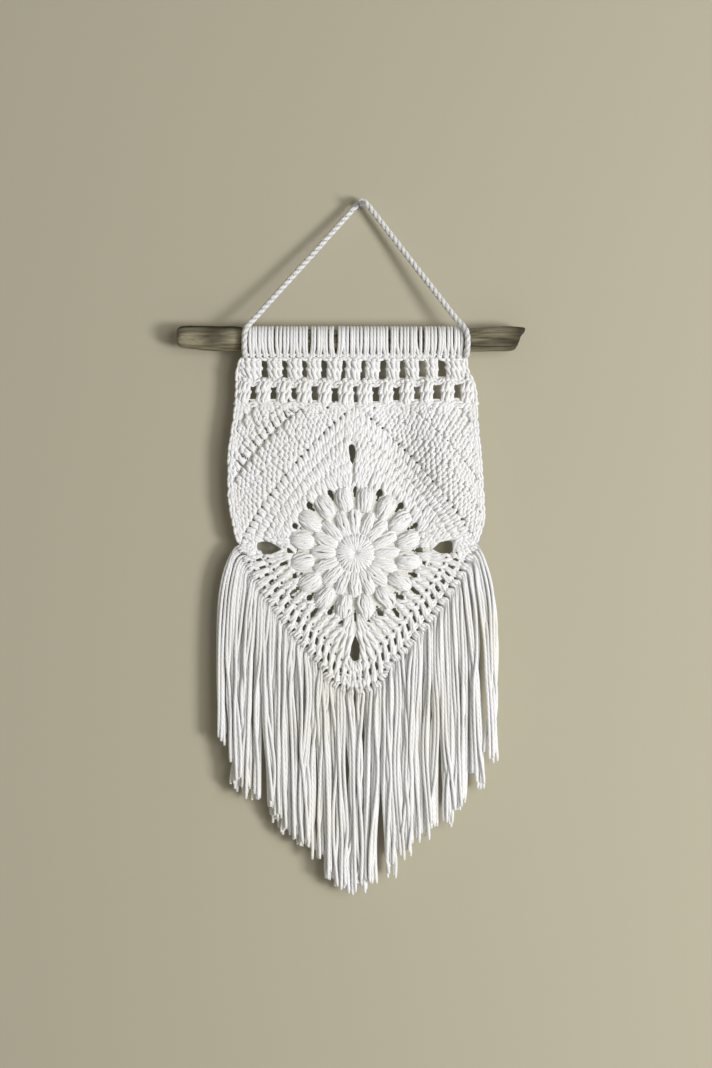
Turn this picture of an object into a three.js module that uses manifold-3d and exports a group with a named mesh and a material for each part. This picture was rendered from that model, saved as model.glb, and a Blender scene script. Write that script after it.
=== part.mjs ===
// A crochet wall hanging: a cotton panel with a puff-stitch flower diamond, looped over a driftwood
// stick, hung by a twisted cord from a nail, with a long fringe on the two lower edges.
// Millimetres. +Z is up, +Y goes into the wall, and the origin is the nail's end on the wall plane.
import * as THREE from "three";
import { mergeVertices } from "three/addons/utils/BufferGeometryUtils.js";
import Module from "manifold-3d";

const wasm = await Module();
wasm.setup();

// Driving dimensions
const PART_GAP = 0.3; // clearance between neighbouring pieces
const PANEL_X = -4.4; // the panel's centre line, left of the nail
const PANEL_Y = -11; // the panel's middle plane, in front of the wall
const FLOWER_Z = -219.7; // height of the flower's centre
const STITCH_HALF = 1.9; // half thickness of plain crochet
const ROW_HALF = 2.4; // half thickness at the crest of a row of stitches

const NAIL = { shank: 1.0, head: 2.2, headThick: 1.3, length: 14, sides: 12 };
const CORD = { long: 1.9, short: 1.15, turn: 8.4, stepsPerTurn: 5 };

const HEADING = { left: -66.9, right: 68, bandTop: -93.6, bandBottom: -97.6, bandHalf: 2.3 };
const LOOP = { z: -85.9, radius: 8.4, half: 1.85, ridge: 0.85, base: 0.5, steps: 7, pairs: 32 };
const CLUSTERS = { top: -97.9, firstRow: -104, between: -110, secondRow: -117, bottom: -125.5 };

// The diamond's outline grows from the flower's circle to a square on its point.
const DIAMOND = { left: 72.5, right: 75.5, up: 92.5, down: 86, bulge: 1.2, sideLift: 6.5 };
const PETALS = 16;
const FLOWER_COLUMNS = 64;
const FIELD_COLUMNS = 32;

// Rounds of the flower from the centre outwards: radius, the cloth's half thickness, and the ridge added
// on the petals, which stand in line with the gaps (turn 0) or between them (turn 0.5).
const FLOWER = [
  { circle: 0, half: 2.6, ridge: 0, turn: 0 },
  { circle: 7.5, half: 3.5, ridge: 0.3, turn: 0 },
  { circle: 12.8, half: 1.9, ridge: 0, turn: 0 },
  { circle: 16.5, half: 2.9, ridge: 1.0, turn: 0 },
  { circle: 23, half: 2.9, ridge: 1.1, turn: 0 },
  { circle: 26.2, half: 1.9, ridge: 0, turn: 0 },
  { circle: 30.5, half: 3.3, ridge: 1.7, turn: 0.5 },
  { circle: 37.5, half: 3.3, ridge: 1.7, turn: 0.5 },
  { circle: 41.5, half: 1.7, ridge: 0, turn: 0 },
];

// Rounds of the square field around it: a circle's radius, the share of the diamond's half diagonals,
// how square the round is, and the half thickness.
const FIELD = [
  { circle: 39.4, share: 0, square: 0, half: 1.5 },
  { circle: 41.5, share: 0.82, square: 0.5, half: ROW_HALF },
  { circle: 0, share: 0.82, square: 1, half: STITCH_HALF },
  { circle: 0, share: 0.91, square: 1, half: ROW_HALF },
  { circle: 0, share: 1, square: 1, half: STITCH_HALF },
];

// The stick from its cut end to its broken end: radius and height of its middle.
const STICK = [
  { x: -117.2, radius: 6.5, z: -83.2 },
  { x: -112, radius: 7.4, z: -83.6 },
  { x: -97, radius: 7.8, z: -84.2 },
  { x: -84, radius: 8.2, z: -84.4 },
  { x: -75.4, radius: 8.0, z: -84.8 },
  { x: -72.2, radius: 7.0, z: -85.9 },
  { x: -4, radius: 6.9, z: -85.9 },
  { x: 64.4, radius: 7.0, z: -85.9 },
  { x: 67.4, radius: 7.7, z: -85.4 },
  { x: 80, radius: 7.9, z: -85 },
  { x: 90, radius: 8.1, z: -84.6 },
  { x: 95.5, radius: 7.7, z: -84.4 },
  { x: 99.5, radius: 6.6, z: -83.6 },
];
const STICK_SIDES = 14;

// The panel's side edges above the diamond, from the heading down, measured from the centre line.
const LEFT_EDGE = [
  { z: -94, x: -70.2 },
  { z: -104, x: -74.6 },
  { z: -123, x: -74.6 },
  { z: -137, x: -76.4 },
  { z: -156, x: -79.4 },
  { z: -186, x: -79.4 },
  { z: -205, x: -75.8 },
  { z: -213, x: -73.4 },
];
const RIGHT_EDGE = [
  { z: -94, x: 69.6 },
  { z: -105, x: 70.6 },
  { z: -114, x: 75.6 },
  { z: -142, x: 77 },
  { z: -158, x: 78.8 },
  { z: -198, x: 81.2 },
  { z: -213, x: 76.6 },
];

// Soft hollows and swells of the hanging cloth: the middle, the half widths and how far it leans out.
const SWELLS = [
  { x: 38, z: -165, wide: 22, tall: 34, out: -2.6 },
  { x: 66, z: -160, wide: 20, tall: 40, out: 2.0 },
  { x: -52, z: -165, wide: 26, tall: 36, out: 1.6 },
  { x: 0, z: -228, wide: 40, tall: 40, out: 1.4 },
];

// Slits between heading loops, where the stick shows: place from the centre line and how far the loops
// on each side of it are pushed away.
const SLITS = [
  { x: -51, push: 0.6 },
  { x: -46.8, push: 0.4 },
  { x: -31, push: 0.7 },
  { x: -14, push: 0.7 },
  { x: 21.3, push: 0.6 },
  { x: 41.3, push: 0.7 },
];

const TRIANGLE = { rows: 5, columns: 6, overlap: 0.02, tip: 0.985 };
const FRINGE = { knots: 22, strandsPerKnot: 3, strand: 1.05, steps: 3, layer: 2 };
const STRIP = { wide: 3.4, half: 1.9, columns: 7 };

// How far the strands hang along each lower edge, from its side corner (0) to the lowest corner (1).
const DROPS = [
  { place: 0, left: 122, right: 127 },
  { place: 0.2, left: 131, right: 138 },
  { place: 0.45, left: 129, right: 133 },
  { place: 0.7, left: 124, right: 125 },
  { place: 1, left: 125, right: 125 },
];

// The strands at the side corners flare outwards: how far, how soon, and how fast it fades along the edge.
const FLARE = { left: { reach: 14, soon: 9 }, right: { reach: 18, soon: 4.5 }, fade: 0.16 };

// Small helpers

const lerp = THREE.MathUtils.lerp;
const clamp01 = (t) => THREE.MathUtils.clamp(t, 0, 1);
// A repeatable unevenness between -1 and 1.
const uneven = (n) => Math.sin(n * 12.9898 + Math.sin(n * 4.1414) * 3.7);

// The value of a table's column at a height, between its rows.
function along(table, z) {
  const below = table.findIndex((row) => row.z <= z);
  if (below === 0) return table[0].x;
  if (below < 0) return table.at(-1).x;
  const [a, b] = [table[below - 1], table[below]];
  return lerp(a.x, b.x, (a.z - z) / (a.z - b.z));
}

// How far the cloth's middle plane stands towards the viewer at a place on the panel.
function swell(x, z) {
  return SWELLS.reduce((sum, s) => {
    const away = ((x - s.x) / s.wide) ** 2 + ((z - s.z) / s.tall) ** 2;
    return sum + s.out * Math.exp(-away);
  }, 0);
}

const clothY = (x, z) => PANEL_Y - swell(x, z);

function closedBody(points, triangles) {
  const body = { numProp: 3, vertProperties: points, triVerts: new Uint32Array(triangles) };
  return new wasm.Manifold(new wasm.Mesh(body));
}

// A closed geometry as a solid that can be joined and cut, facing outwards.
function solid(geometry) {
  const bare = geometry.clone();
  for (const name of Object.keys(bare.attributes)) {
    if (name !== "position") bare.deleteAttribute(name);
  }
  const merged = mergeVertices(bare, 1e-4);
  const points = new Float32Array(merged.attributes.position.array);
  const index = merged.index.array;
  const facing = [];
  const turned = [];
  for (let i = 0; i < index.length; i += 3) {
    const [a, b, c] = [index[i], index[i + 1], index[i + 2]];
    if (a === b || b === c || c === a) continue;
    facing.push(a, b, c);
    turned.push(a, c, b);
  }
  const body = closedBody(points, facing);
  return body.volume() > 0 ? body : closedBody(points, turned);
}

function joined(solids) {
  return wasm.Manifold.union(solids);
}

// A solid as a named mesh.
function mesh(name, body, material) {
  const made = body.getMesh();
  const points = new Float32Array(made.numVert * 3);
  for (let i = 0; i < made.numVert; i++) {
    points.set(made.vertProperties.subarray(i * made.numProp, i * made.numProp + 3), i * 3);
  }
  const geometry = new THREE.BufferGeometry();
  geometry.setAttribute("position", new THREE.BufferAttribute(points, 3));
  geometry.setIndex(new THREE.BufferAttribute(new Uint32Array(made.triVerts), 1));
  geometry.computeVertexNormals();
  const node = new THREE.Mesh(geometry, material);
  node.name = name;
  return node;
}

// The three-sided section of a hanging strand, with an edge to the front.
function strandSection(radius) {
  const corners = [-90, 30, 150].map((degrees) => {
    const a = THREE.MathUtils.degToRad(degrees);
    return new THREE.Vector2(radius * Math.cos(a), radius * Math.sin(a));
  });
  return new THREE.Shape(corners);
}

// A prism that cuts right through the cloth, from an outline in the panel's plane.
function cutter(outline) {
  const depth = 60;
  const shape = new THREE.Shape(outline.map(([x, z]) => new THREE.Vector2(x + PANEL_X, z)));
  const prism = new THREE.ExtrudeGeometry(shape, { depth, bevelEnabled: false });
  prism.rotateX(Math.PI / 2);
  prism.translate(0, PANEL_Y + depth / 2, 0);
  return solid(prism);
}

// A sheet of cloth from a grid: place(u, v) gives x, z and the half thickness, u and v from 0 to 1.
function sheet(columns, rows, place) {
  const box = new THREE.BoxGeometry(1, 1, 1, columns, 1, rows);
  const at = box.attributes.position;
  for (let i = 0; i < at.count; i++) {
    const { x, z, half } = place(at.getX(i) + 0.5, 0.5 - at.getZ(i));
    at.setXYZ(i, x + PANEL_X, clothY(x, z) + Math.sign(at.getY(i)) * half, z);
  }
  return solid(box);
}

// The diamond with its flower

// The distance from the flower's centre to the diamond's edge, at an angle clockwise from straight up.
function edgeReach(angle) {
  const [sin, cos] = [Math.sin(angle), Math.cos(angle)];
  const across = sin < 0 ? DIAMOND.left : DIAMOND.right;
  const tall = cos < 0 ? DIAMOND.down : DIAMOND.up;
  const sum = (Math.abs(sin) / across) ** DIAMOND.bulge + (Math.abs(cos) / tall) ** DIAMOND.bulge;
  return sum ** (-1 / DIAMOND.bulge);
}

// A place seen from the flower's centre. The diamond's side corners are pulled up a little.
function fromCentre(x, up) {
  return [x, FLOWER_Z + up + DIAMOND.sideLift * (x / DIAMOND.right) ** 2];
}

function roundPoint(angle, { circle, share = 0, square = 0 }) {
  const radius = lerp(circle, share * edgeReach(angle), square);
  return fromCentre(radius * Math.sin(angle), radius * Math.cos(angle));
}

// A place on one edge of the diamond, from its side corner (0) to its top or lowest corner (1).
function edgePoint(side, tall, t, share = 1) {
  const across = side < 0 ? DIAMOND.left : DIAMOND.right;
  const size = share / ((1 - t) ** DIAMOND.bulge + t ** DIAMOND.bulge) ** (1 / DIAMOND.bulge);
  return fromCentre(side * across * (1 - t) * size, tall * t * size);
}

// A round piece of cloth turned from its rounds. A ring starts away from the centre and is open there.
function roundCloth(rounds, columns) {
  const profile = [
    ...rounds.map((_, i) => ({ round: i, face: -1 })),
    ...rounds.map((_, i) => ({ round: rounds.length - 1 - i, face: 1 })),
  ];
  if (rounds[0].circle > 0) profile.push(profile[0]);
  const outline = profile.map(({ round, face }) => new THREE.Vector2(round, face));
  const disc = new THREE.LatheGeometry(outline, columns);
  const at = disc.attributes.position;
  for (let column = 0; column <= columns; column++) {
    const angle = ((column % columns) / columns) * Math.PI * 2;
    profile.forEach(({ round, face }, k) => {
      const { half, ridge = 0, turn = 0 } = rounds[round];
      const [x, z] = roundPoint(angle, rounds[round]);
      const petal = Math.cos(angle * PETALS - turn * Math.PI * 2);
      at.setXYZ(column * profile.length + k, x + PANEL_X, clothY(x, z) + face * (half + ridge * petal), z);
    });
  }
  return solid(disc);
}

// The corner triangles, in rows parallel to the diamond's upper edges

function cornerTriangle(side) {
  const edge = side < 0 ? LEFT_EDGE : RIGHT_EDGE;
  const rows = TRIANGLE.rows * 2;
  const [lowX, lowZ] = edgePoint(side, DIAMOND.up, 0);
  const [, topZ] = edgePoint(side, DIAMOND.up, 1);
  return sheet(TRIANGLE.columns, rows, (u, v) => {
    const w = side < 0 ? u : 1 - u;
    const crest = Math.round(v * rows) % 2 === 1;
    const half = crest ? ROW_HALF + 0.4 : STITCH_HALF - 0.2;
    if (v === 0) {
      const [x, z] = edgePoint(side, DIAMOND.up, w, 1 - TRIANGLE.overlap);
      return { x, z, half };
    }
    const t = v * TRIANGLE.tip;
    const sideZ = lerp(lowZ, CLUSTERS.bottom, t);
    const topX = lerp(0, along(edge, CLUSTERS.bottom), t);
    const [edgeX, edgeZ] = edgePoint(side, DIAMOND.up, w);
    const bulge = [edgeX - lerp(lowX, 0, w), edgeZ - lerp(lowZ, topZ, w)];
    const x = lerp(along(edge, sideZ), topX, w) + bulge[0] * (1 - t);
    const z = lerp(sideZ, lerp(topZ, CLUSTERS.bottom, t), w) + bulge[1] * (1 - t);
    return { x, z, half };
  });
}

// The two rows of stitch clusters under the heading

function clusterRows() {
  const levels = [
    { z: CLUSTERS.top, half: STITCH_HALF },
    { z: CLUSTERS.firstRow, half: ROW_HALF + 0.3 },
    { z: CLUSTERS.between, half: STITCH_HALF },
    { z: CLUSTERS.secondRow, half: ROW_HALF + 0.3 },
    { z: CLUSTERS.bottom - 3, half: STITCH_HALF },
  ];
  const last = levels.length - 1;
  return sheet(1, last, (u, v) => {
    const { z, half } = levels[Math.round(v * last)];
    return { x: lerp(along(LEFT_EDGE, z), along(RIGHT_EDGE, z), u), z, half };
  });
}

// Gaps cut through the crochet

function slot(x, z, wide, tall, lean) {
  const [w, h] = [wide / 2, tall / 2];
  return [
    [x + lean - w, z - h],
    [x + lean + w, z - h],
    [x - lean + w * 0.8, z + h],
    [x - lean - w * 0.8, z + h],
  ];
}

function clusterGaps() {
  const rows = [
    { count: 10, first: -56.6, pitch: 12.36, z: CLUSTERS.firstRow, tall: 9.6, middle: 4.6, lean: -0.9 },
    { count: 11, first: -64.1, pitch: 12.87, z: CLUSTERS.secondRow, tall: 8.8, middle: 5, lean: 0.4 },
  ];
  const gaps = [];
  rows.forEach((row, r) => {
    for (let i = 0; i < row.count; i++) {
      const near = Math.exp(-((i - row.middle) ** 2) / 3);
      const wide = 3.7 + 0.5 * uneven(i + 20 * r) + (i > row.count - 3 ? 0.9 : 0);
      const tall = row.tall + 2.2 * near + 0.5 * uneven(i + 7);
      gaps.push(slot(row.first + row.pitch * i, row.z - 1.2 * near, wide, tall, row.lean * near));
    }
  });
  return gaps;
}

// A gap in the diamond, given along a ray from the flower's centre as distances and half widths.
function rayGap(angle, steps) {
  const [sin, cos] = [Math.sin(angle), Math.cos(angle)];
  const place = (far, side) => fromCentre(far * sin + side * cos, far * cos - side * sin);
  const right = steps.map(({ far, half }) => place(far, half));
  const left = steps.filter(({ half }) => half > 0).map(({ far, half }) => place(far, -half));
  return [...right, ...left.reverse()];
}

function flowerGaps() {
  const gaps = [];
  for (let k = 0; k < PETALS; k++) {
    const angle = (k / PETALS) * Math.PI * 2;
    const grow = 1 + 0.25 * uneven(k) - 0.3 * Math.cos(angle);
    gaps.push(
      rayGap(angle, [
        { far: 37, half: 0 },
        { far: 41.2, half: 1.7 * grow },
        { far: 43.4, half: 0 },
      ]),
    );
  }
  return gaps;
}

// Teardrop eyelets at the four corners of the square round.
function cornerEyelets() {
  const corners = [
    { angle: -0.035, near: 56.5, far: 68.4, half: 2.4 },
    { angle: Math.PI / 2, near: 49.5, far: 61.5, half: 5.0 },
    { angle: Math.PI, near: 52, far: 67.6, half: 3.1 },
    { angle: (3 * Math.PI) / 2, near: 47.5, far: 61.8, half: 4.8 },
  ];
  return corners.map(({ angle, near, far, half }) => {
    const length = far - near;
    return rayGap(angle, [
      { far: near, half: 0 },
      { far: near + 0.45 * length, half: 0.65 * half },
      { far: near + 0.75 * length, half },
      { far, half: 0.45 * half },
    ]);
  });
}

// Gaps between the clusters of the square round, over the puffs of its lower half.
function squareRoundGaps() {
  const gaps = [];
  for (let k = 0; k < PETALS; k++) {
    const angle = ((k + 0.5) / PETALS) * Math.PI * 2;
    if (Math.cos(angle) > 0.3) continue;
    gaps.push(
      rayGap(angle, [
        { far: 43.6, half: 0 },
        { far: 46.2, half: 1.3 },
        { far: 49, half: 0 },
      ]),
    );
  }
  return gaps;
}

// Slits between the posts of the last round, along the two lower edges that the fringe pulls open.
function edgeSlits() {
  const slits = [];
  const perSide = 12;
  for (const side of [-1, 1]) {
    for (let i = 0; i < perSide; i++) {
      const t = (i + 1.2) / (perSide + 1.4);
      const half = (0.75 + 0.2 * uneven(i + 3 * side)) / 115;
      slits.push([
        edgePoint(side, -DIAMOND.down, t - half, 0.845),
        edgePoint(side, -DIAMOND.down, t + half, 0.845),
        edgePoint(side, -DIAMOND.down, t + half, 0.93),
        edgePoint(side, -DIAMOND.down, t - half, 0.93),
      ]);
    }
  }
  return slits;
}

function crochetPanel() {
  const cloth = joined([
    roundCloth(FLOWER, FLOWER_COLUMNS),
    roundCloth(FIELD, FIELD_COLUMNS),
    cornerTriangle(-1),
    cornerTriangle(1),
    clusterRows(),
  ]);
  const roundGaps = [...flowerGaps(), ...cornerEyelets(), ...squareRoundGaps()];
  const gaps = [...clusterGaps(), ...roundGaps, ...edgeSlits()];
  return cloth.subtract(joined(gaps.map(cutter)));
}

// The heading: a chained band and the loops that pass from it over the stick

function loopPlaces() {
  const pitch = (HEADING.right - HEADING.left) / LOOP.pairs;
  const places = [];
  for (let i = 0; i < LOOP.pairs; i++) {
    const even = HEADING.left + pitch * (i + 0.5);
    const pushed = SLITS.reduce((sum, slit) => {
      const away = even - slit.x;
      return sum + Math.sign(away) * slit.push * Math.exp(-((away / 5) ** 2));
    }, 0);
    places.push(even + pushed);
  }
  return places;
}

// One stitch of the heading: a pair of strands over the stick, drawn together where they meet the band.
function headingLoop(x) {
  const around = [30, 70, 110, 150, 190, 230, 270, 310, 330];
  const foot = HEADING.bandTop - 1.4;
  const points = [new THREE.Vector3(x + PANEL_X, PANEL_Y - 1.2, foot)];
  for (const degrees of around) {
    const a = THREE.MathUtils.degToRad(degrees);
    const y = PANEL_Y - LOOP.radius * Math.sin(a);
    points.push(new THREE.Vector3(x + PANEL_X, y, LOOP.z - LOOP.radius * Math.cos(a)));
  }
  points.push(new THREE.Vector3(x + PANEL_X, PANEL_Y + 1.2, foot));
  const pair = new THREE.Shape([
    new THREE.Vector2(-LOOP.half, -LOOP.base),
    new THREE.Vector2(LOOP.half, -LOOP.base),
    new THREE.Vector2(LOOP.half / 2, LOOP.ridge),
    new THREE.Vector2(0, 0),
    new THREE.Vector2(-LOOP.half / 2, LOOP.ridge),
  ]);
  const extrudePath = new THREE.CatmullRomCurve3(points, false, "centripetal");
  const loop = new THREE.ExtrudeGeometry(pair, { steps: LOOP.steps, extrudePath, bevelEnabled: false });
  const at = loop.attributes.position;
  for (let i = 0; i < at.count; i++) {
    const drawn = lerp(0.7, 1, clamp01((at.getZ(i) - foot) / 7));
    at.setX(i, x + PANEL_X + (at.getX(i) - x - PANEL_X) * drawn);
  }
  return solid(loop);
}

function headingBand() {
  const { left, right, bandTop, bandBottom, bandHalf } = HEADING;
  const half = (bandTop - bandBottom) / 2;
  const bar = new THREE.CylinderGeometry(1, 1, right - left, 8);
  bar.rotateZ(Math.PI / 2);
  bar.scale(1, bandHalf, half);
  bar.translate((left + right) / 2 + PANEL_X, PANEL_Y, bandTop - half);
  return solid(bar);
}

function heading() {
  return joined([headingBand(), ...loopPlaces().map(headingLoop)]);
}

// The fringe: strands rooted in a narrow strip along one lower edge

// A place beside one lower edge, a distance outwards from it.
function besideEdge(side, t, out) {
  const near = edgePoint(side, -DIAMOND.down, clamp01(t - 0.01));
  const far = edgePoint(side, -DIAMOND.down, clamp01(t + 0.01));
  const alongEdge = new THREE.Vector2(far[0] - near[0], far[1] - near[1]).normalize();
  const [x, z] = edgePoint(side, -DIAMOND.down, t);
  return [x + side * -alongEdge.y * out, z + side * alongEdge.x * out];
}

function fringeStrip(side) {
  return sheet(STRIP.columns, 1, (u, v) => {
    const t = lerp(0.012, 1, side < 0 ? u : 1 - u);
    const [x, z] = besideEdge(side, t, lerp(PART_GAP + STRIP.wide, PART_GAP, v));
    const inside = side * Math.max(side * x, PART_GAP / 2);
    return { x: inside, z, half: STRIP.half };
  });
}

function hangingLength(side, place) {
  const next = Math.max(1, DROPS.findIndex((row) => row.place >= place));
  const [a, b] = [DROPS[next - 1], DROPS[next]];
  return lerp(a[side], b[side], (place - a.place) / (b.place - a.place));
}

function fringeStrand(side, i, count) {
  const share = (i + 0.5) / count;
  const layer = FRINGE.layer * [-1, 1, 0][i % 3];
  const [x, z] = besideEdge(side, share, PART_GAP + STRIP.wide * 0.5);
  const sideName = side < 0 ? "left" : "right";
  const { reach, soon } = FLARE[sideName];
  const spread = side * reach * Math.exp(-share / FLARE.fade);
  const drop = hangingLength(sideName, share) + 3 * uneven(i * 1.7 + side);
  const hang = (down) => {
    const y = clothY(x, z) - layer * lerp(0.4, 1, clamp01(down * 4));
    const flared = spread * (1 - Math.exp(-soon * down) - 0.15 * down ** 2);
    return new THREE.Vector3(x + flared + PANEL_X, y, z - drop * down);
  };
  const straight = { depth: 1, steps: FRINGE.steps, bevelEnabled: false };
  const thread = new THREE.ExtrudeGeometry(strandSection(FRINGE.strand), straight);
  const at = thread.attributes.position;
  for (let k = 0; k < at.count; k++) {
    const place = hang(at.getZ(k) ** 1.6);
    at.setXYZ(k, place.x + at.getX(k), place.y + at.getY(k), place.z);
  }
  return solid(thread);
}

function fringe(side) {
  const count = FRINGE.knots * FRINGE.strandsPerKnot;
  const strands = [];
  for (let i = 0; i < count; i++) strands.push(fringeStrand(side, i, count));
  return joined([fringeStrip(side), ...strands]);
}

// The driftwood stick

function driftwoodStick() {
  const last = STICK.length - 1;
  const rod = new THREE.CylinderGeometry(1, 1, 1, STICK_SIDES, last);
  const at = rod.attributes.position;
  for (let i = 0; i < at.count; i++) {
    const ring = Math.round((at.getY(i) + 0.5) * last);
    const [across, up] = [at.getX(i), at.getZ(i)];
    const { x, radius, z } = STICK[ring];
    const angle = Math.atan2(up, across);
    const rough = 0.35 * Math.sin(x * 0.5 + 2 * angle) + 0.2 * Math.sin(x * 0.3 - 3 * angle);
    const reach = radius > 7.1 ? radius + rough : radius;
    const broken = ring === last ? 4 * up : 0;
    at.setXYZ(i, x + broken, PANEL_Y + reach * across, z + reach * up);
  }
  return solid(rod);
}

// The hanging cord: two strands twisted together, from the heading's ends over the nail

const CORD_ROUTE = [
  { x: -73.5, y: -13, z: -95.5 },
  { x: -73.6, y: -17.4, z: -93.8 },
  { x: -73.6, y: -20.6, z: -90 },
  { x: -73.5, y: -21.5, z: -85.5 },
  { x: -73, y: -20.8, z: -80.5 },
  { x: -70.8, y: -18.6, z: -76.2 },
  { x: -66, y: -16.8, z: -70.8 },
  { x: -50, y: -13.6, z: -52.5 },
  { x: -28, y: -9.8, z: -27.5 },
  { x: -10, y: -7.2, z: -7 },
  { x: -3.4, y: -6.6, z: 0.5 },
  { x: 0, y: -6.5, z: 3.2 },
  { x: 3.4, y: -6.6, z: 0.6 },
  { x: 9, y: -7.2, z: -6.6 },
  { x: 25, y: -9.8, z: -27.7 },
  { x: 43, y: -13.6, z: -51.6 },
  { x: 58, y: -17, z: -71.4 },
  { x: 63, y: -19, z: -77.2 },
  { x: 65.4, y: -20.8, z: -81.5 },
  { x: 65.9, y: -21.3, z: -86 },
  { x: 65.9, y: -20.4, z: -90.4 },
  { x: 65.8, y: -17.2, z: -93.9 },
  { x: 65.7, y: -13, z: -95.5 },
];

function hangingCord() {
  const route = CORD_ROUTE.map(({ x, y, z }) => new THREE.Vector3(x, y, z));
  const curve = new THREE.CatmullRomCurve3(route, false, "centripetal");
  const turns = curve.getLength() / CORD.turn;
  const steps = Math.round(turns * CORD.stepsPerTurn);
  const frames = curve.computeFrenetFrames(steps, false);
  const points = curve.getSpacedPoints(steps);
  const tube = new THREE.CylinderGeometry(1, 1, 1, 4, steps);
  const at = tube.attributes.position;
  for (let i = 0; i < at.count; i++) {
    const step = Math.round((at.getY(i) + 0.5) * steps);
    const twist = (step / CORD.stepsPerTurn) * Math.PI * 2;
    const [across, thick] = [at.getX(i) * CORD.long, at.getZ(i) * CORD.short];
    const along = across * Math.cos(twist) - thick * Math.sin(twist);
    const over = across * Math.sin(twist) + thick * Math.cos(twist);
    const place = points[step]
      .clone()
      .addScaledVector(frames.normals[step], along)
      .addScaledVector(frames.binormals[step], over);
    at.setXYZ(i, place.x, place.y, place.z);
  }
  return solid(tube);
}

function nail() {
  const profile = [
    [0, 0],
    [NAIL.shank, 0],
    [NAIL.shank, NAIL.length - NAIL.headThick],
    [NAIL.head, NAIL.length - NAIL.headThick],
    [NAIL.head, NAIL.length - 0.4],
    [NAIL.head - 0.5, NAIL.length],
    [0, NAIL.length],
  ];
  const turned = new THREE.LatheGeometry(profile.map(([r, y]) => new THREE.Vector2(r, -y)), NAIL.sides);
  return solid(turned);
}

// The assembled wall hanging

const yarn = new THREE.MeshStandardMaterial({ color: 0xe9e6dc, roughness: 0.95, metalness: 0 });
const wood = new THREE.MeshStandardMaterial({ color: 0x6f665a, roughness: 0.9, metalness: 0 });
const steel = new THREE.MeshStandardMaterial({ color: 0x8a8c8e, roughness: 0.45, metalness: 1 });

const hanging = new THREE.Group();
hanging.add(
  mesh("driftwood_stick", driftwoodStick(), wood),
  mesh("heading_loops", heading(), yarn),
  mesh("crochet_panel", crochetPanel(), yarn),
  mesh("fringe_left", fringe(-1), yarn),
  mesh("fringe_right", fringe(1), yarn),
  mesh("hanging_cord", hangingCord(), yarn),
  mesh("nail", nail(), steel),
);

export default hanging;
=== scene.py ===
"""A crochet wall hanging on a driftwood stick, laid out as an add-on and run as a script."""

import math

import bmesh
import bpy
import numpy as np
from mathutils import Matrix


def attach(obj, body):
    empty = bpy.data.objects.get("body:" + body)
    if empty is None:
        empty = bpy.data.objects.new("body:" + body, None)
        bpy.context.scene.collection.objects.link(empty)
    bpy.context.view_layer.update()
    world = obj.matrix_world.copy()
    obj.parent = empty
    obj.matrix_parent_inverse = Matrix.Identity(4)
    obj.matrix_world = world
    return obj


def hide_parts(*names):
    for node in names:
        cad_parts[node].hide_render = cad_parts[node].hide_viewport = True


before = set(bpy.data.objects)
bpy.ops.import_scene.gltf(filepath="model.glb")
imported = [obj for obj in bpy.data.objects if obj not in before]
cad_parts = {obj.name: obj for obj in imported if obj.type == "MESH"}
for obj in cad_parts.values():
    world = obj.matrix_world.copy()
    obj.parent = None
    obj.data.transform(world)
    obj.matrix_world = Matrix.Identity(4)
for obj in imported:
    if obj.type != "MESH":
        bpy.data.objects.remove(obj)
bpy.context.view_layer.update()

bl_info = {
    "name": "Crochet Wall Hanging",
    "version": (1, 0, 0),
    "blender": (4, 5, 0),
    "location": "View3D > Sidebar > Hanging",
    "description": "Builds a crochet wall hanging stitch by stitch on its packed frame",
    "category": "Add Mesh",
}

BODY = "root"
MM = 0.001

# Sizes in millimetres. X runs along the stick, Z is up, and the wall is the plane Y = 0.
# Places on the panel are x from its own centre line, which lies at PANEL_X, and z.
PANEL_X = -4.4
PANEL_Y = -11.0
FLOWER_Z = -219.7
PETALS = 16
PETAL_STEP = 2 * math.pi / PETALS
DIAMOND = {"left": 72.5, "right": 75.5, "up": 92.5, "down": 86.0, "bulge": 1.2, "side_lift": 6.5}

# Rings of the diamond as shares of it: the squared flower and the edge of the last round.
SQUARE_SHARE = 0.82
OUTER_SHARE = 0.985

HEADING = {"left": -66.9, "right": 68.0, "band_top": -93.4, "band_bottom": -98.2, "pairs": 32}
LOOP = {"z": -85.9, "radius": 8.35}

# Panel side edges from the heading down: height and distance from the centre line.
LEFT_EDGE = np.array([
    (-94, -70.2), (-104, -74.6), (-123, -74.6), (-137, -76.4),
    (-156, -79.4), (-186, -79.4), (-205, -75.8), (-213, -73.4),
])
RIGHT_EDGE = np.array([
    (-94, 69.6), (-105, 70.6), (-114, 75.6), (-142, 77.0),
    (-158, 78.8), (-198, 81.2), (-213, 76.6),
])

# Soft swells of the hanging cloth: x, z, half width, half height, how far it leans out, turn.
SWELLS = [
    (31, -160, 16, 36, -4.8, 14),
    (56, -156, 16, 38, 3.6, 14),
    (-52, -165, 26, 36, 1.6, 0),
    (0, -228, 40, 40, 1.4, 0),
]

# Slits between heading strands where the stick shows: place and push.
SLITS = [(-51, 0.6), (-46.8, 0.4), (-31, 0.7), (-14, 0.7), (21.3, 0.6), (41.3, 0.7)]

# Lines over, between and under the two rows of clusters: height, wave, sag in the middle, sag's half width.
CLUSTER_LINES = [(-97.6, 0.0, 0.0, 25), (-110.6, -1.3, 1.0, 30), (-125.5, 1.0, 1.2, 25)]
CLUSTER_BOTTOM = CLUSTER_LINES[2][0]

# Rows of openings between the stitch clusters: count, first place, pitch, height, tallness, middle, lean.
CLUSTER_GAPS = [
    (10, -56.6, 12.36, -102.6, 10.6, 4.6, -0.9),
    (11, -64.1, 12.87, -117.0, 8.8, 5.0, 0.4),
]

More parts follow.
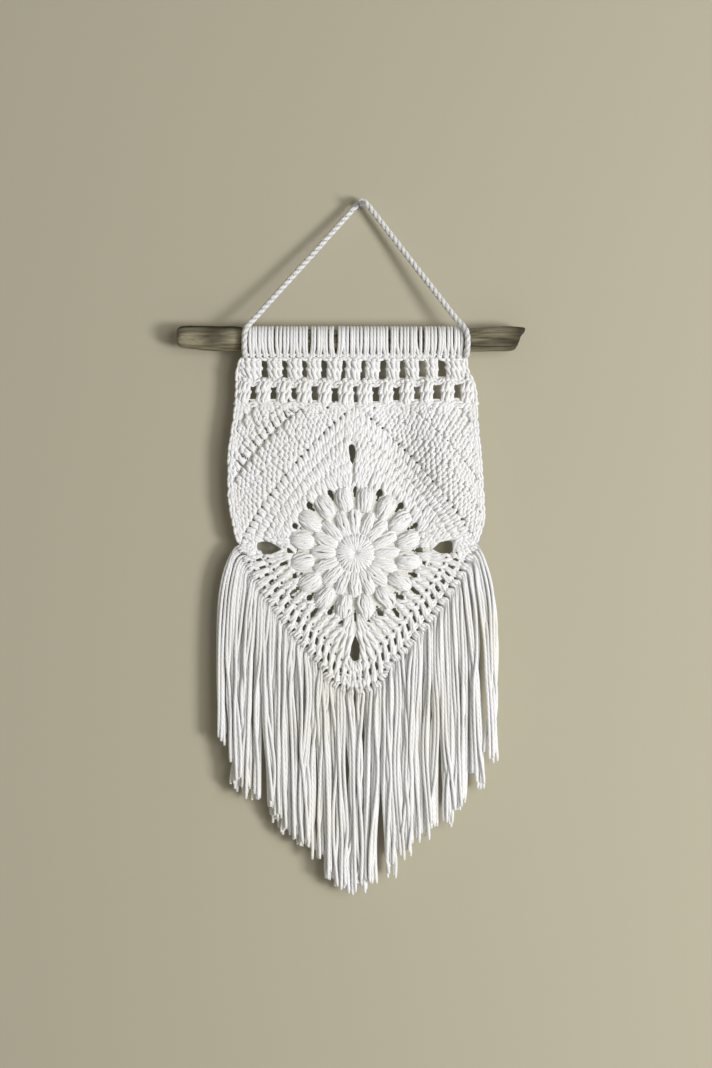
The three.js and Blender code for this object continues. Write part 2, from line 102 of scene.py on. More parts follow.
# Small holes just below the clusters: place and radius.
SMALL_HOLES = [
    (-67, -123.4, 0.8), (-42, -123.6, 0.9), (-29, -124.5, 0.6), (-17, -128, 0.9),
    (-13, -125, 0.6), (12, -128, 0.9), (29, -129, 0.9),
]

# Openings along a ray from the flower's centre, between two puffs and below a puff: distance and radius.
PUFF_SLIT = [(41.0, 1.9), (39.4, 1.1), (38.2, 0.65), (37.2, 0.45), (36.2, 0.35)]
PUFF_GAP = [(43.8, 1.0), (45.4, 1.2), (47, 1.1), (48.4, 0.8)]

# The opening between two posts of the last round: share of the way up and radius.
POST_SLIT = [(-0.2, 0.8), (0.26, 0.75), (0.38, 0.85), (0.5, 0.75), (1.0, 0.8)]

# Radius of the holes along the diamond's upper edges, at the feet of the triangles' rows, in the
# left triangle's open row and in the lowest corner's fan.
PINHOLES = {"upper_edge": 0.75, "row": 0.3, "open_row": 0.4, "fan": 0.9}

# Corner eyelets clockwise from the top: start and end along the ray, half width.
EYELETS = [(56.5, 68.4, 2.4), (49.5, 61.5, 5.0), (52.0, 67.6, 3.1), (47.5, 61.8, 4.8)]

# How much of the side before and after each corner is left to its eyelet.
CORNER_REACH = [(0.125, 0.07), (0.085, 0.085), (0.115, 0.115), (0.085, 0.085)]

# Stitches in the rows of a corner triangle, from the diamond outwards.
TRIANGLE_STITCHES = [24, 19, 14, 9, 4]

# The two rounds of the flower: ends and half widths along the ray, strands in front and behind.
PETAL = {"near": 12.4, "far": 27.0, "half": 2.9, "foot": 1.3, "top": 1.4, "strands": {1: 6, -1: 4}}
PUFF = {"near": 27.4, "far": 40.8, "half": 4.1, "foot": 1.6, "top": 2.2, "strands": {1: 8, -1: 5}}

# How far the fringe hangs along each lower edge, from its side corner to the lowest corner.
DROPS = {"place": (0, 0.2, 0.45, 0.7, 1), -1: (122, 131, 127, 121, 123), 1: (124, 136, 131, 122, 122)}

# How far and how soon the fringe flares at each side corner, and how fast that fades along the edge.
FLARE = {-1: (14, 9), 1: (18, 4.5), "fade": 0.16}
FRINGE_POINTS = 48

# Rings of the stick from left to right: x, radius, height.
STICK = [
    (-117.2, 6.5, -83.2), (-112, 7.4, -83.6), (-97, 7.8, -84.2), (-84, 8.2, -84.4),
    (-75.4, 8.0, -84.8), (-72.2, 7.0, -85.9), (-4, 6.9, -85.9), (64.4, 7.0, -85.9),
    (67.4, 7.7, -85.4), (80, 7.9, -85), (90, 8.1, -84.6), (95.5, 7.9, -84.4), (100.2, 7.2, -83.6),
]

# The longest draw between two rings, and the slant of the broken end in degrees.
STICK_STEP = 9
STICK_BREAK = -24

# Unevenness of the stick: name, stretch of the noise, its scale and how deep it goes.
WEATHERING = [("bends", (0.03, 0.012, 0.012), 0.8, 1.1), ("grain", (0.05, 0.0035, 0.0035), 0.7, 0.75)]

# The dark knot on the stick's front, in metres.
KNOT = (-0.093, -0.0188, -0.0838)

# The nail: shank, and a head that is some times as wide, with a smaller crown.
NAIL = {"radius": 1.0, "shank": 12.7, "head": 2.2, "thick": 0.9, "crown": 0.8, "crown_thick": 0.4}

CORD_ROUTE = [
    (-73.5, -13, -95.5), (-73.6, -17.4, -93.8), (-73.6, -20.6, -90), (-73.5, -21.5, -85.5),
    (-73, -20.8, -80.5), (-70.8, -18.6, -76.2), (-66, -16.8, -70.8), (-50, -13.6, -52.5),
    (-28, -9.8, -27.5), (-10, -7.2, -7), (-3.4, -6.6, 0.5), (0, -6.5, 3.2), (3.4, -6.6, 0.6),
    (9, -7.2, -6.6), (25, -9.8, -27.7), (43, -13.6, -51.6), (58, -17, -71.4), (63, -19, -77.2),
    (65.4, -20.8, -81.5), (65.9, -21.3, -86), (65.9, -20.4, -90.4), (65.8, -17.2, -93.9),
    (65.7, -13, -95.5),
]

# Radius of one of the cord's two strands, as a share of the cord's diameter.
STRAND_SHARE = 0.42

# The picture: its height in pixels, the size of a pixel, the place in its middle, and the camera's sensor.
PICTURE_HEIGHT = 1068
PIXEL = 0.63
PICTURE_X, PICTURE_Z = -3.78, -207.6
SENSOR = 36.0

# Lights in metres: name, place, size, share of the key light's power.
LIGHTS = [
    ("key_light", (1.4, -1.45, -0.5), 0.5, 1.0),
    ("front_fill", (1.0, -1.7, -0.1), 1.1, 0.62),
    ("rear_fill", (0.5, 1.3, 0.4), 1.0, 0.12),
]
LIGHT_AIM = (0, 0, -0.2)
SKY_COLOUR = (1.0, 0.97, 0.9, 1)
SKY_STRENGTH = 0.22

# Stage surfaces in metres.
UPRIGHT = (math.pi / 2, 0, 0)
BACKDROP = {"size": 2.4, "location": (0, 0.0008, 0.1), "rotation": UPRIGHT}
FLOOR = {"size": 4.0, "location": (0, 0, -1.6)}

# Where the random draws of each group start.
SEEDS = {"holes": 3, "panel": 5, "heading": 11, "fringe": {-1: 39, 1: 41}}


class YarnSettings(bpy.types.PropertyGroup):
    """Sizes and colours of the cotton yarn."""

    thickness: bpy.props.FloatProperty(
        name="Thickness", description="Yarn thickness in the stitches", default=0.0021, unit="LENGTH"
    )
    ply_pitch: bpy.props.FloatProperty(
        name="Ply pitch", description="Length of one turn of the plies", default=0.0042, unit="LENGTH"
    )
    white: bpy.props.FloatVectorProperty(
        name="White", description="Clean yarn", default=(0.905, 0.905, 0.92), subtype="COLOR"
    )
    cream: bpy.props.FloatVectorProperty(
        name="Cream", description="Warmer yarn", default=(0.835, 0.82, 0.76), subtype="COLOR"
    )


class PanelSettings(bpy.types.PropertyGroup):
    """How the panel is worked."""

    pitch: bpy.props.FloatProperty(
        name="Stitch width", description="Width of one stitch", default=0.005, unit="LENGTH"
    )
    puff_rise: bpy.props.FloatProperty(
        name="Puff rise", description="How far the puffs stand out", default=0.0031, unit="LENGTH"
    )
    upper_stitches: bpy.props.IntProperty(
        name="Upper stitches", description="Stitches on an upper side of the last round", default=22
    )
    lower_stitches: bpy.props.IntProperty(
        name="Lower stitches", description="Stitches on a lower side of the last round", default=17
    )
    grid: bpy.props.FloatProperty(
        name="Ground grid", description="Grid of the thin ground behind the stitches", default=0.0007,
        unit="LENGTH",
    )


class FringeSettings(bpy.types.PropertyGroup):
    """The fringe on the two lower edges."""

    per_knot: bpy.props.IntProperty(
        name="Strands per knot", description="Strands drawn through one edge stitch", default=6
    )
    thickness: bpy.props.FloatProperty(
        name="Thickness", description="Thickness of a strand", default=0.0021, unit="LENGTH"
    )


class CordSettings(bpy.types.PropertyGroup):
    """The hanging cord."""

    diameter: bpy.props.FloatProperty(
        name="Diameter", description="Width of the twisted cord", default=0.0039, unit="LENGTH"
    )
    turn: bpy.props.FloatProperty(
        name="Turn", description="Length of one twist", default=0.0084, unit="LENGTH"
    )


class StickSettings(bpy.types.PropertyGroup):
    """The driftwood stick."""

    pale: bpy.props.FloatVectorProperty(
        name="Pale grain", description="Weathered ridges", default=(0.425, 0.379, 0.257), subtype="COLOR"
    )
    dark: bpy.props.FloatVectorProperty(
        name="Dark grain", description="Cracks and hollows", default=(0.04, 0.034, 0.022), subtype="COLOR"
    )


class StageSettings(bpy.types.PropertyGroup):
    """Backdrop, light and camera."""

    backdrop: bpy.props.FloatVectorProperty(
        name="Backdrop", description="Plain backdrop", default=(0.49, 0.456, 0.348), subtype="COLOR"
    )
    floor: bpy.props.FloatVectorProperty(
        name="Floor", description="Plain pale floor", default=(0.6, 0.58, 0.53), subtype="COLOR"
    )
    key_power: bpy.props.FloatProperty(
        name="Key light", description="Power of the soft light from the right", default=24.0, unit="POWER"
    )
    distance: bpy.props.FloatProperty(
        name="Camera distance", description="Camera to wall", default=1.2, unit="LENGTH"
    )


# Geometry helpers


def lerp(a, b, t):
    return a + (b - a) * t


def unit(v):
    return v / np.maximum(np.linalg.norm(v, axis=-1, keepdims=True), 1e-9)


def distances(lines):
    """How far along its line each point of lines (…, n, c) lies."""
    steps = np.linalg.norm(np.diff(lines, axis=-2), axis=-1)
    return np.concatenate([np.zeros_like(steps[..., :1]), np.cumsum(steps, axis=-1)], axis=-1)


def points_at(line, run, at):
    """Points of a line at given distances along it."""
    return np.stack([np.interp(at, run, way) for way in line.T], -1)


def along(edge, z):
    """Distance of a side edge from the centre line at a height."""
    return np.interp(-np.asarray(z, float), -edge[:, 0], edge[:, 1])


def side_edge(side):
    return LEFT_EDGE if side < 0 else RIGHT_EDGE


def cloth_y(x, z):
    """The cloth's middle plane."""
    swell = 0.0
    for sx, sz, wide, tall, out, turn in SWELLS:
        cos, sin = math.cos(math.radians(turn)), math.sin(math.radians(turn))
        across, up = (x - sx) * cos + (z - sz) * sin, (z - sz) * cos - (x - sx) * sin
        swell = swell + out * np.exp(-((across / wide) ** 2) - (up / tall) ** 2)
    return PANEL_Y - swell


def on_cloth(place, out):
    """Panel places (…, 2) as points in the frame, out in front of the cloth's middle."""
    x, z = place[..., 0], place[..., 1]
    return np.stack([x + PANEL_X, cloth_y(x, z) - out, z], -1)


def from_centre(x, up):
    """A place from the flower's centre; the cloth lifts a little towards the side corners."""
    return np.stack([x, FLOWER_Z + up + DIAMOND["side_lift"] * (x / DIAMOND["right"]) ** 2], -1)


def ray_point(angle, far, across=0.0):
    """A place from the flower's centre: angle clockwise from straight up, distance, sideways."""
    angle, far, across = np.broadcast_arrays(np.asarray(angle, float), far, across)
    sin, cos = np.sin(angle), np.cos(angle)
    return from_centre(far * sin + across * cos, far * cos - across * sin)


def edge_point(side, tall, t, share=1.0):
    """A place on a ring of the diamond, from its side corner (0) to its top or lowest corner (1)."""
    t = np.asarray(t, float)
    blunt = 0.7 * np.clip((t - 0.75) / 0.2, 0, 1) if tall < 0 else 0
    b = DIAMOND["bulge"] + blunt
    across = DIAMOND["left"] if side < 0 else DIAMOND["right"]
    size = share / ((1 - t) ** b + t**b) ** (1 / b)
    return from_centre(side * across * (1 - t) * size, tall * t * size)


def upper_edge(side, t, share=1.0):
    return edge_point(side, DIAMOND["up"], t, share)


def lower_edge(side, t, share=1.0):
    return edge_point(side, -DIAMOND["down"], t, share)


def square_point(quarter, s, share):
    """A place on a square ring, clockwise from corner to corner; quarter 0 starts at the top."""
    quarter %= 4
    edge = upper_edge if quarter in (0, 3) else lower_edge
    s = np.asarray(s, float)
    return edge(1 if quarter < 2 else -1, 1 - s if quarter in (0, 2) else s, share)


def beside_edge(side, t, out):
    """A place beside one lower edge, a distance outwards from it."""
    t = np.asarray(t, float)
    run = unit(lower_edge(side, np.clip(t + 0.01, 0, 1)) - lower_edge(side, np.clip(t - 0.01, 0, 1)))
    outward = np.stack([-side * run[..., 1], side * run[..., 0]], -1)
    return lower_edge(side, t) + outward * np.asarray(out)[..., None]


def smooth(points, count):
    """Smooth curves through control points (k, c, 3), sampled evenly."""
    points = np.asarray(points, float)
    c = points.shape[1]
    first = 2 * points[:, :1] - points[:, 1:2]
    last = 2 * points[:, -1:] - points[:, -2:-1]
    run = np.concatenate([first, points, last], axis=1)
    t = np.linspace(0, c - 1, count)
    i = np.minimum(t.astype(int), c - 2)
    f = (t - i)[None, :, None]
    p0, p1, p2, p3 = run[:, i], run[:, i + 1], run[:, i + 2], run[:, i + 3]
    square, cube = 2 * p0 - 5 * p1 + 4 * p2 - p3, 3 * p1 - p0 - 3 * p2 + p3
    return 0.5 * (2 * p1 + (p2 - p0) * f + square * f**2 + cube * f**3)


class Yarn:
    """Collects strands and makes one joined mesh of them."""

    def __init__(self, ply_pitch, holes=None):
        self.ply_pitch = ply_pitch
        self.holes = holes
        self.batches = []

    def part(self, paths, radius):
        """Bends strands sideways round the holes in the cloth, softly at first and then clear of them."""
        push = self.push(paths, radius)
        push[:, 1:-1] = 0.5 * push[:, 1:-1] + 0.25 * (push[:, 2:] + push[:, :-2])
        paths = paths.copy()
        paths[..., [0, 2]] += push
        paths[..., [0, 2]] += self.push(paths, radius)
        return paths

    def push(self, paths, radius):
        """How far each point of the strands has to move sideways to clear the holes."""
        flat = paths[..., [0, 2]] - [PANEL_X, 0]
        run = unit(np.gradient(flat, axis=1))
        beside = np.stack([-run[..., 1], run[..., 0]], -1)
        away = flat[:, :, None] - self.holes[:, :2]
        clear = self.holes[:, 2] + 0.85 * radius
        across, ahead = (np.einsum("knhc,knc->knh", away, way) for way in (beside, run))
        want = np.sqrt(np.clip(clear**2 - ahead**2, 0, None)) * (np.abs(across) < clear)
        side = np.where(np.sum(across * want, axis=1, keepdims=True) < 0, -1, 1)
        push = side * np.clip(want - side * across, 0, None) * (want > 0)
        most = np.argmax(np.abs(push), axis=-1)[..., None]
        return np.take_along_axis(push, most, -1) * beside

    def add(self, paths, radius, sides=6, taper=1.0):
        """Tubes along paths (k, n, 3) of one point count, in millimetres."""
        paths = np.asarray(paths, float)
        if self.holes is not None:
            paths = self.part(paths, radius)
        k, n, _ = paths.shape
        radii = np.broadcast_to(radius * np.asarray(taper), (k, n))
        tangent = unit(np.gradient(paths, axis=1))
        normal = np.zeros_like(paths)
        turned = np.where(np.abs(tangent[:, 0, 1:2]) < 0.85, [[0.0, 1.0, 0.0]], [[1.0, 0.0, 0.0]])
        for i in range(n):
            along_it = np.sum(turned * tangent[:, i], axis=-1, keepdims=True)
            turned = normal[:, i] = unit(turned - tangent[:, i] * along_it)
        other = np.cross(tangent, normal)
        angle = np.arange(sides)[:, None] / sides * 2 * math.pi
        ring = normal[:, :, None] * np.cos(angle) + other[:, :, None] * np.sin(angle)
        points = paths[:, :, None] + ring * radii[:, :, None, None]
        start = (np.arange(k) * n * sides)[:, None]
        i, j = np.meshgrid(np.arange(n - 1), np.arange(sides), indexing="ij")
        after = (j + 1) % sides
        quads = np.stack([i * sides + j, i * sides + after, (i + 1) * sides + after, (i + 1) * sides + j], -1)
        quads = (quads.reshape(1, -1, 4) + start[:, None]).reshape(-1, 4)
        u = np.stack([j, j + 1, j + 1, j], -1).reshape(-1, 4) / sides
        rows = np.stack([i, i, i + 1, i + 1], -1).reshape(-1, 4)
        turns = (distances(paths) / self.ply_pitch)[:, rows]
        quad_uv = np.stack([np.broadcast_to(u, turns.shape), turns], -1).reshape(-1, 2)
        ends = np.arange(sides)
        caps = np.concatenate([ends[::-1] + start, (n - 1) * sides + ends + start])
        self.batches.append((points.reshape(-1, 3), quads, quad_uv, caps))

    def make(self, name, material):
        """The joined mesh as an object at the origin."""
        points, corners, totals, uvs = [], [], [], []
        base = 0
        for verts, quads, quad_uv, caps in self.batches:
            points.append(verts)
            corners += [(quads + base).ravel(), (caps + base).ravel()]
            totals += [np.full(len(quads), 4), np.full(len(caps), caps.shape[1])]
            uvs += [quad_uv, np.full((caps.size, 2), 0.5)]
            base += len(verts)
        points, corners, totals, uvs = (np.concatenate(part) for part in (points, corners, totals, uvs))
        return mesh_object(name, points, corners, totals, material, uvs)


def mesh_object(name, points, corners, totals, material, uvs=None):
    """An object at the origin from arrays, points in millimetres."""
    mesh = bpy.data.meshes.new(name)
    mesh.vertices.add(len(points))
    mesh.vertices.foreach_set("co", (points * MM).astype(np.float32).ravel())
    mesh.loops.add(len(corners))
    mesh.loops.foreach_set("vertex_index", corners.astype(np.int32))
    mesh.polygons.add(len(totals))
    starts = np.concatenate([[0], np.cumsum(totals)[:-1]])
    mesh.polygons.foreach_set("loop_start", starts.astype(np.int32))
    mesh.update(calc_edges=True)
    if uvs is not None:
        layer = mesh.uv_layers.new(name="strand")
        layer.uv.foreach_set("vector", uvs.astype(np.float32).ravel())
    mesh.shade_smooth()
    mesh.materials.append(material)
    made = bpy.data.objects.new(name, mesh)
    bpy.context.scene.collection.objects.link(made)
    return made


def settle(piece, slot, *nodes):
    """Ties a finished piece to the frame."""
    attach(piece, BODY)
    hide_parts(*nodes)
    return piece


# Stitches. Each strand is a list of (sideways, upwards, outwards): sideways in stitch widths,
# upwards in stitch heights and outwards in millimetres.

BACK_LEGS = [
    [(.26, -.06, -1.0), (.22, .15, -1.5), (.16, .5, -1.7), (.22, .82, -1.5), (.1, 1.02, -1.2)],
    [(-.26, -.06, -1.0), (-.20, .15, -1.5), (-.22, .5, -1.7), (-.18, .82, -1.5), (-.3, 1.02, -1.2)],
]
CORE_LEGS = [
    [(-.24, .0, -.8), (-.22, .3, .0), (-.24, .7, .0), (-.2, .98, -.8)],
    [(.24, .0, -.8), (.26, .3, .0), (.22, .7, .0), (.2, .98, -.8)],
]
BEAD = [
    [(-.34, .96, .2), (-.18, .97, .8), (0, .98, 1.1), (.18, .97, .8), (.34, .96, .2)],
    [(-.34, .98, -.4), (-.18, 1.0, -1.2), (0, 1.0, -1.5), (.18, 1.0, -1.2), (.34, .98, -.4)],
]

# A short loop of yarn; each stitch says how high its middle stands.
GRAIN = [(-.5, 0, -.6), (-.34, .2, .6), (0, .55, None), (.3, .85, .7), (.5, 1.08, -.6)]


def waist(strand, pinch=0.34):
    """Draws a strand of a stitch in towards the stitch's middle at its foot and its top."""
    return [(u * (1 - pinch + pinch * math.sin(math.pi * min(max(v, 0), 1))), v, w) for u, v, w in strand]


def grains(stack, slant, stagger, high):
    """Short loops of yarn that come up out of the cloth and go back into it, in two columns."""
    tall = 1 / stack
    strands = []
    for column, u in enumerate((-.25, .25)):
        for i in range(stack):
            v = (i + 0.02 + stagger * column) * tall * 0.96
            run = [(u + 2 * slant * a, v + b * tall, high if w is None else w) for a, b, w in GRAIN]
            strands.append(waist(run))
    return strands


def twisted(turns, count, wide, high):
    """Strands twisted round each other up a post."""
    v = np.linspace(-0.06, 1.06, 9)
    angles = [2 * math.pi * (turns * v + i / count) for i in range(count)]
    return [list(zip(wide * np.cos(angle), v, high * np.sin(angle) + 0.3)) for angle in angles]


BODY_LEGS = [waist(strand, 0.45) for strand in BACK_LEGS + CORE_LEGS]
SLIM_LEGS = [waist(strand, 0.3) for strand in BACK_LEGS]
POST = {"legs": BODY_LEGS, "grains": grains(2, .10, .2, 1.0), "chain": BEAD}
TALL = {"legs": BODY_LEGS, "grains": grains(4, .10, .3, 0.95), "chain": BEAD}
SEED = {"legs": BODY_LEGS, "grains": grains(3, .14, .4, 0.95), "chain": BEAD}
WRAP = {"legs": SLIM_LEGS + twisted(1.4, 2, 0.24, 0.75)}
TWIST = {
    "legs": SLIM_LEGS + [
        [(-.20, -.08, -.4), (-.27, .18, .5), (-.22, .45, 1.0), (-.02, .75, 1.2), (.10, 1.08, .0)],
        [(.10, -.08, .0), (.02, .2, 1.2), (.22, .5, 1.0), (.26, .8, .5), (.18, 1.08, -.4)],
        [(-.06, -.08, -.6), (-.08, .3, .2), (.0, .55, .4), (-.2, .85, .3), (-.18, 1.08, -.5)],
    ],
}
SPOKE = {
    "legs": [
        [(-.10, -.06, -1.7), (-.24, .06, -.5), (-.27, .22, .4), (-.22, .45, .7), (-.19, .66, .6),
         (-.21, .84, .2), (-.24, 1.0, -1.5)],
        [(.10, -.06, -1.7), (.24, .06, -.4), (.28, .22, .4), (.23, .45, .6), (.25, .66, .6),
         (.21, .84, .1), (.14, 1.0, -1.5)],
    ],
}
CLUSTER = {
    "legs": BACK_LEGS + SPOKE["legs"] + [
        [(-.50, rise + .54, -.9), (-.42, rise + .49, .5), (-.12, rise + .38, 1.6),
         (.20, rise + .26, 1.6), (.44, rise + .16, .4), (.48, rise + .12, -.9)]
        for rise in (0, .38)
    ],
    "chain": BEAD,
}
BRAID = {
    "chain": [
        [(-.75, .42, .6), (-.45, .30, 1.5), (-.05, .12, 1.6), (.35, .14, 1.2), (.62, .42, .4)],
        [(-.75, .58, .6), (-.45, .72, 1.5), (-.05, .90, 1.6), (.35, .86, 1.2), (.62, .58, .4)],
        [(-.75, .42, -.6), (-.4, .28, -1.5), (0, .2, -1.6), (.4, .3, -1.4), (.7, .5, -.4)],
        [(-.75, .58, -.6), (-.4, .74, -1.5), (0, .8, -1.6), (.4, .7, -1.4), (.7, .5, -.4)],
    ],
}

# Strands of a stitch: points along each, and for each kind its thickness and how it thins at its ends.
STITCH_POINTS = 9
THIN_ENDS = np.minimum(1, 0.55 + 0.3 * np.minimum(np.arange(STITCH_POINTS), np.arange(STITCH_POINTS)[::-1]))
STRAND_KINDS = {"legs": (1.0, 1.0), "grains": (1.3, THIN_ENDS), "chain": (1.0, THIN_ENDS)}


def work(yarn, quads, stitch, radius, rng, pitch, lean=0.0, lift=0.0, flip=False):
    """Works one kind of stitch into quads (k, 4, 2): left and right foot, left and right top."""
    quads = np.asarray(quads, float)
    k = len(quads)
    foot, top = quads[:, :2], quads[:, 2:]
    lift = np.broadcast_to(np.asarray(lift, float), (k,))[:, None]
    lean = lean + rng.normal(0, 0.1, (k, 1))
    shift = rng.normal(0, 0.04, (k, 1))
    for kind, (thick, taper) in STRAND_KINDS.items():
        for strand in stitch.get(kind, ()):
            u, v, w = np.array(strand, float).T
            shape = (k, len(w))
            u = -u if flip else u
            u = u + lean * (v - 1) + shift + rng.normal(0, 0.04, shape)
            v = v + rng.normal(0, 0.018, shape)
            out = w + lift + rng.normal(0, 0.15, shape)
            middle = lerp(foot.mean(1)[:, None], top.mean(1)[:, None], v[..., None])
            width = lerp((foot[:, 1] - foot[:, 0])[:, None], (top[:, 1] - top[:, 0])[:, None], v[..., None])
            if kind != "chain":
                wide = np.linalg.norm(width, axis=-1, keepdims=True)
                width = width * np.minimum(1, pitch / np.maximum(wide, 1e-6))
            path = on_cloth(middle + width * u[..., None], out)
            yarn.add(smooth(path, STITCH_POINTS), radius * thick, taper=taper)


def row_quads(foot, top):
    """Quads between two rows of boundary points (n + 1, 2)."""
    return np.stack([foot[:-1], foot[1:], top[:-1], top[1:]], 1)


def braid_along(yarn, line, radius, rng, pitch, wide, lift=0.0):
    """A chain worked along a line of panel places (n, 2)."""
    run = distances(line)
    count = max(2, int(round(run[-1] / pitch)))
    points = points_at(line, run, np.linspace(0, run[-1], count + 1))
    direction = unit(np.gradient(points, axis=0))
    normal = np.stack([-direction[:, 1], direction[:, 0]], -1)
    quads = row_quads(points - normal * wide / 2, points + normal * wide / 2)
    work(yarn, quads, BRAID, radius, rng, pitch, lift=lift)


# Corners of the diamond and their eyelets


def corner_angle(corner):
    """The way an eyelet points; the top one sits a little to the left."""
    return corner * math.pi / 2 - (0.035 if corner % 4 == 0 else 0)


def corner_reach(corner, after):
    """How much of the side after or before a corner is left to its eyelet."""
    return CORNER_REACH[corner % 4][1 if after else 0]


def corner_run(corner, f, share, reach):
    """Places round a corner of a square ring, f from -1 to 1."""
    before = square_point(corner + 3, 1 + np.minimum(f, 0) * reach, share)
    after = square_point(corner, np.maximum(f, 0) * reach, share)
    return np.where((f < 0)[:, None], before, after)


def eyelet_outline(corner, grow=0.0):
    """A teardrop eyelet, or a line that far outside it, from its inner end round and back."""
    near, far, half = EYELETS[corner]
    steps = [
        (near - 1 - grow, 0.5 * grow),
        (lerp(near, far, 0.4), 0.8 * half + grow),
        (lerp(near, far, 0.75), half + grow),
        (far - 0.3, 0.6 * half + grow),
        (far + 1.2 * grow, 0),
    ]
    there = [(at, -side) for at, side in steps]
    return np.array([ray_point(corner_angle(corner), at, side) for at, side in there + steps[-2::-1]])


def eyelet_rim(corner):
    """The line of the chain round the outer end of a corner eyelet."""
    _near, far, half = EYELETS[corner]
    rim = [
        square_point(corner + 3, 1 - corner_reach(corner, False), SQUARE_SHARE),
        *(ray_point(corner_angle(corner), at, side)
          for at, side in ((far - 1.5, -half - 1.3), (far + 2.0, 0.0), (far - 1.5, half + 1.3))),
        square_point(corner, corner_reach(corner, True), SQUARE_SHARE),
    ]
    return smooth([rim], 25)[0]


def corner_fan(corner):
    """Feet and tops of the posts round the outer end of a corner eyelet."""
    posts = 7 if corner == 2 else 4
    tops = corner_run(corner, np.linspace(-1, 1, posts + 1), OUTER_SHARE, 0.075)
    return lerp(eyelet_rim(corner)[np.linspace(4, 20, posts + 1).astype(int)], tops, 0.04), tops


# Gaps in the cloth, as outlines and round holes in panel places


def wobble(n):
    """An uneven number between -1 and 1 for each n."""
    return math.sin(n * 12.9898 + math.sin(n * 4.1414) * 3.7)


def cluster_gaps():
    """Openings between the clusters in each row: x, z, half width, half height, slant."""
    rows = []
    for r, (count, first, pitch, level, tall, middle, lean) in enumerate(CLUSTER_GAPS):
        row = []
        for i in range(count):
            near = math.exp(-((i - middle) ** 2) / 3)
            half = (3.7 + 0.5 * wobble(i + 20 * r) + (0.9 if i > count - 3 else 0)) / 2
            high = (tall + 2.2 * near + 0.5 * wobble(i + 7)) / 2
            row.append((first + pitch * i, level - 1.2 * near, half, high, lean * near))
        rows.append(row)
    return rows


def lower_marks(quarter, count):
    """Where the posts of the last round stand on a lower side: the feet lie nearer the side corner."""
    tops = np.linspace(0.07, 0.93, count + 1)
    shift = 0.034 * np.sqrt(np.sin(np.linspace(0.02, 0.98, count + 1) * math.pi))
    return np.linspace(0.06, 0.94, count + 1) + (shift if quarter == 2 else -shift), tops


def lower_posts(quarter, count):
    """Feet and tops of the lines between the posts of the last round on a lower side."""
    feet, tops = lower_marks(quarter, count)
    return square_point(quarter, feet, SQUARE_SHARE + 0.015), square_point(quarter, tops, OUTER_SHARE)


def dots(places, size):
    """Holes of one radius at some places."""
    return [(*place, size) for place in places]


def ray_dots(angle, steps):
    """Holes along a ray from the flower's centre."""
    return [(*ray_point(angle, far), size) for far, size in steps]


def small_holes(lower):
    """Small holes between the stitches: x, z and radius."""
    spots = list(SMALL_HOLES)
    for quarter in (1, 2):
        for foot, top in zip(*lower_posts(quarter, lower)):
            spots += [(*lerp(foot, top, v), size) for v, size in POST_SLIT]
    for side in (-1, 1):
        rows = triangle_rows(side)
        count = TRIANGLE_STITCHES[0]
        spots += dots(upper_edge(side, np.arange(1, count) / count, 0.99), PINHOLES["upper_edge"])
        for foot, _top in rows[1:]:
            spots += dots(foot[1:-1], PINHOLES["row"])
        for v in (0.16, 0.28, 0.4, 0.52) if side < 0 else ():
            spots += dots(lerp(*rows[2], v)[1:-1], PINHOLES["open_row"])
    for v, first in ((0.6, 1), (1.0, 2)):
        spots += dots(lerp(*corner_fan(2), v)[first:-1:2], PINHOLES["fan"])
    for k in range(PETALS):
        spots += ray_dots(k * PETAL_STEP, PUFF_SLIT)
        if math.cos((k + 0.5) * PETAL_STEP) < 0.3:
            spots += ray_dots((k + 0.5) * PETAL_STEP, PUFF_GAP)
    for corner, (near, far, half) in enumerate(EYELETS):
        steps = [(lerp(near, far, at), size * half) for at, size in ((0.25, 0.3), (0.5, 0.7), (0.75, 0.9))]
        spots += ray_dots(corner_angle(corner), steps + [(far - 0.7 * half, 0.7 * half)])
    spots = np.array(spots, float)
    rng = np.random.default_rng(SEEDS["holes"])
    spots[:, :2] += rng.normal(0, 0.22, (len(spots), 2))
    spots[:, 2] *= rng.uniform(0.75, 1.15, len(spots))
    return spots


# Groups of stitches


def make_heading(yarn, radius, rng):
    """Pairs of strands over the stick, drawn together at the chained band below it."""
    pairs = HEADING["pairs"]
    even = HEADING["left"] + (HEADING["right"] - HEADING["left"]) / pairs * (np.arange(pairs) + 0.5)
    push = sum(far * np.sign(even - x) * np.exp(-(((even - x) / 5) ** 2)) for x, far in SLITS)
    around = np.radians([38, 62, 90, 120, 150, 180, 210, 240, 270, 298, 322])
    level = LOOP["z"] - LOOP["radius"] * np.cos(around)
    foot = HEADING["band_top"] - 1.6
    high = np.clip((level - foot) / 6, 0, 1)
    strands = []
    for x, top in zip(even, even + push):
        lean = 0.3 * rng.normal()
        for half in (-1, 1):
            at_top = top + lean + half * (1.03 + 0.12 * rng.normal()) + 0.2 * rng.normal()
            at_foot = x + half * 0.62
            sway = 0.25 * rng.normal()
            xs = lerp(at_foot, at_top + sway * np.sin(around), high)
            ys = PANEL_Y - (LOOP["radius"] + 0.15 * rng.normal()) * np.sin(around)
            loop = np.stack([xs + PANEL_X, ys, level], -1)
            ends = [(at_foot + PANEL_X, PANEL_Y + y, foot + z)
                    for y, z in ((-0.6, -1.2), (-2.2, 0.6), (2.2, 0.6), (0.6, -1.2))]
            strands.append(np.concatenate([ends[:2], loop, ends[2:]]))
    yarn.add(smooth(strands, 30), radius * 1.1)
    bounds = np.linspace(HEADING["left"] - 1.5, HEADING["right"] + 1.5, pairs + 1)
    low, high = (np.stack([bounds, np.full_like(bounds, HEADING[rim] - 0.2)], -1)
                 for rim in ("band_bottom", "band_top"))
    work(yarn, row_quads(low, high), BRAID, radius, rng, 4.2)


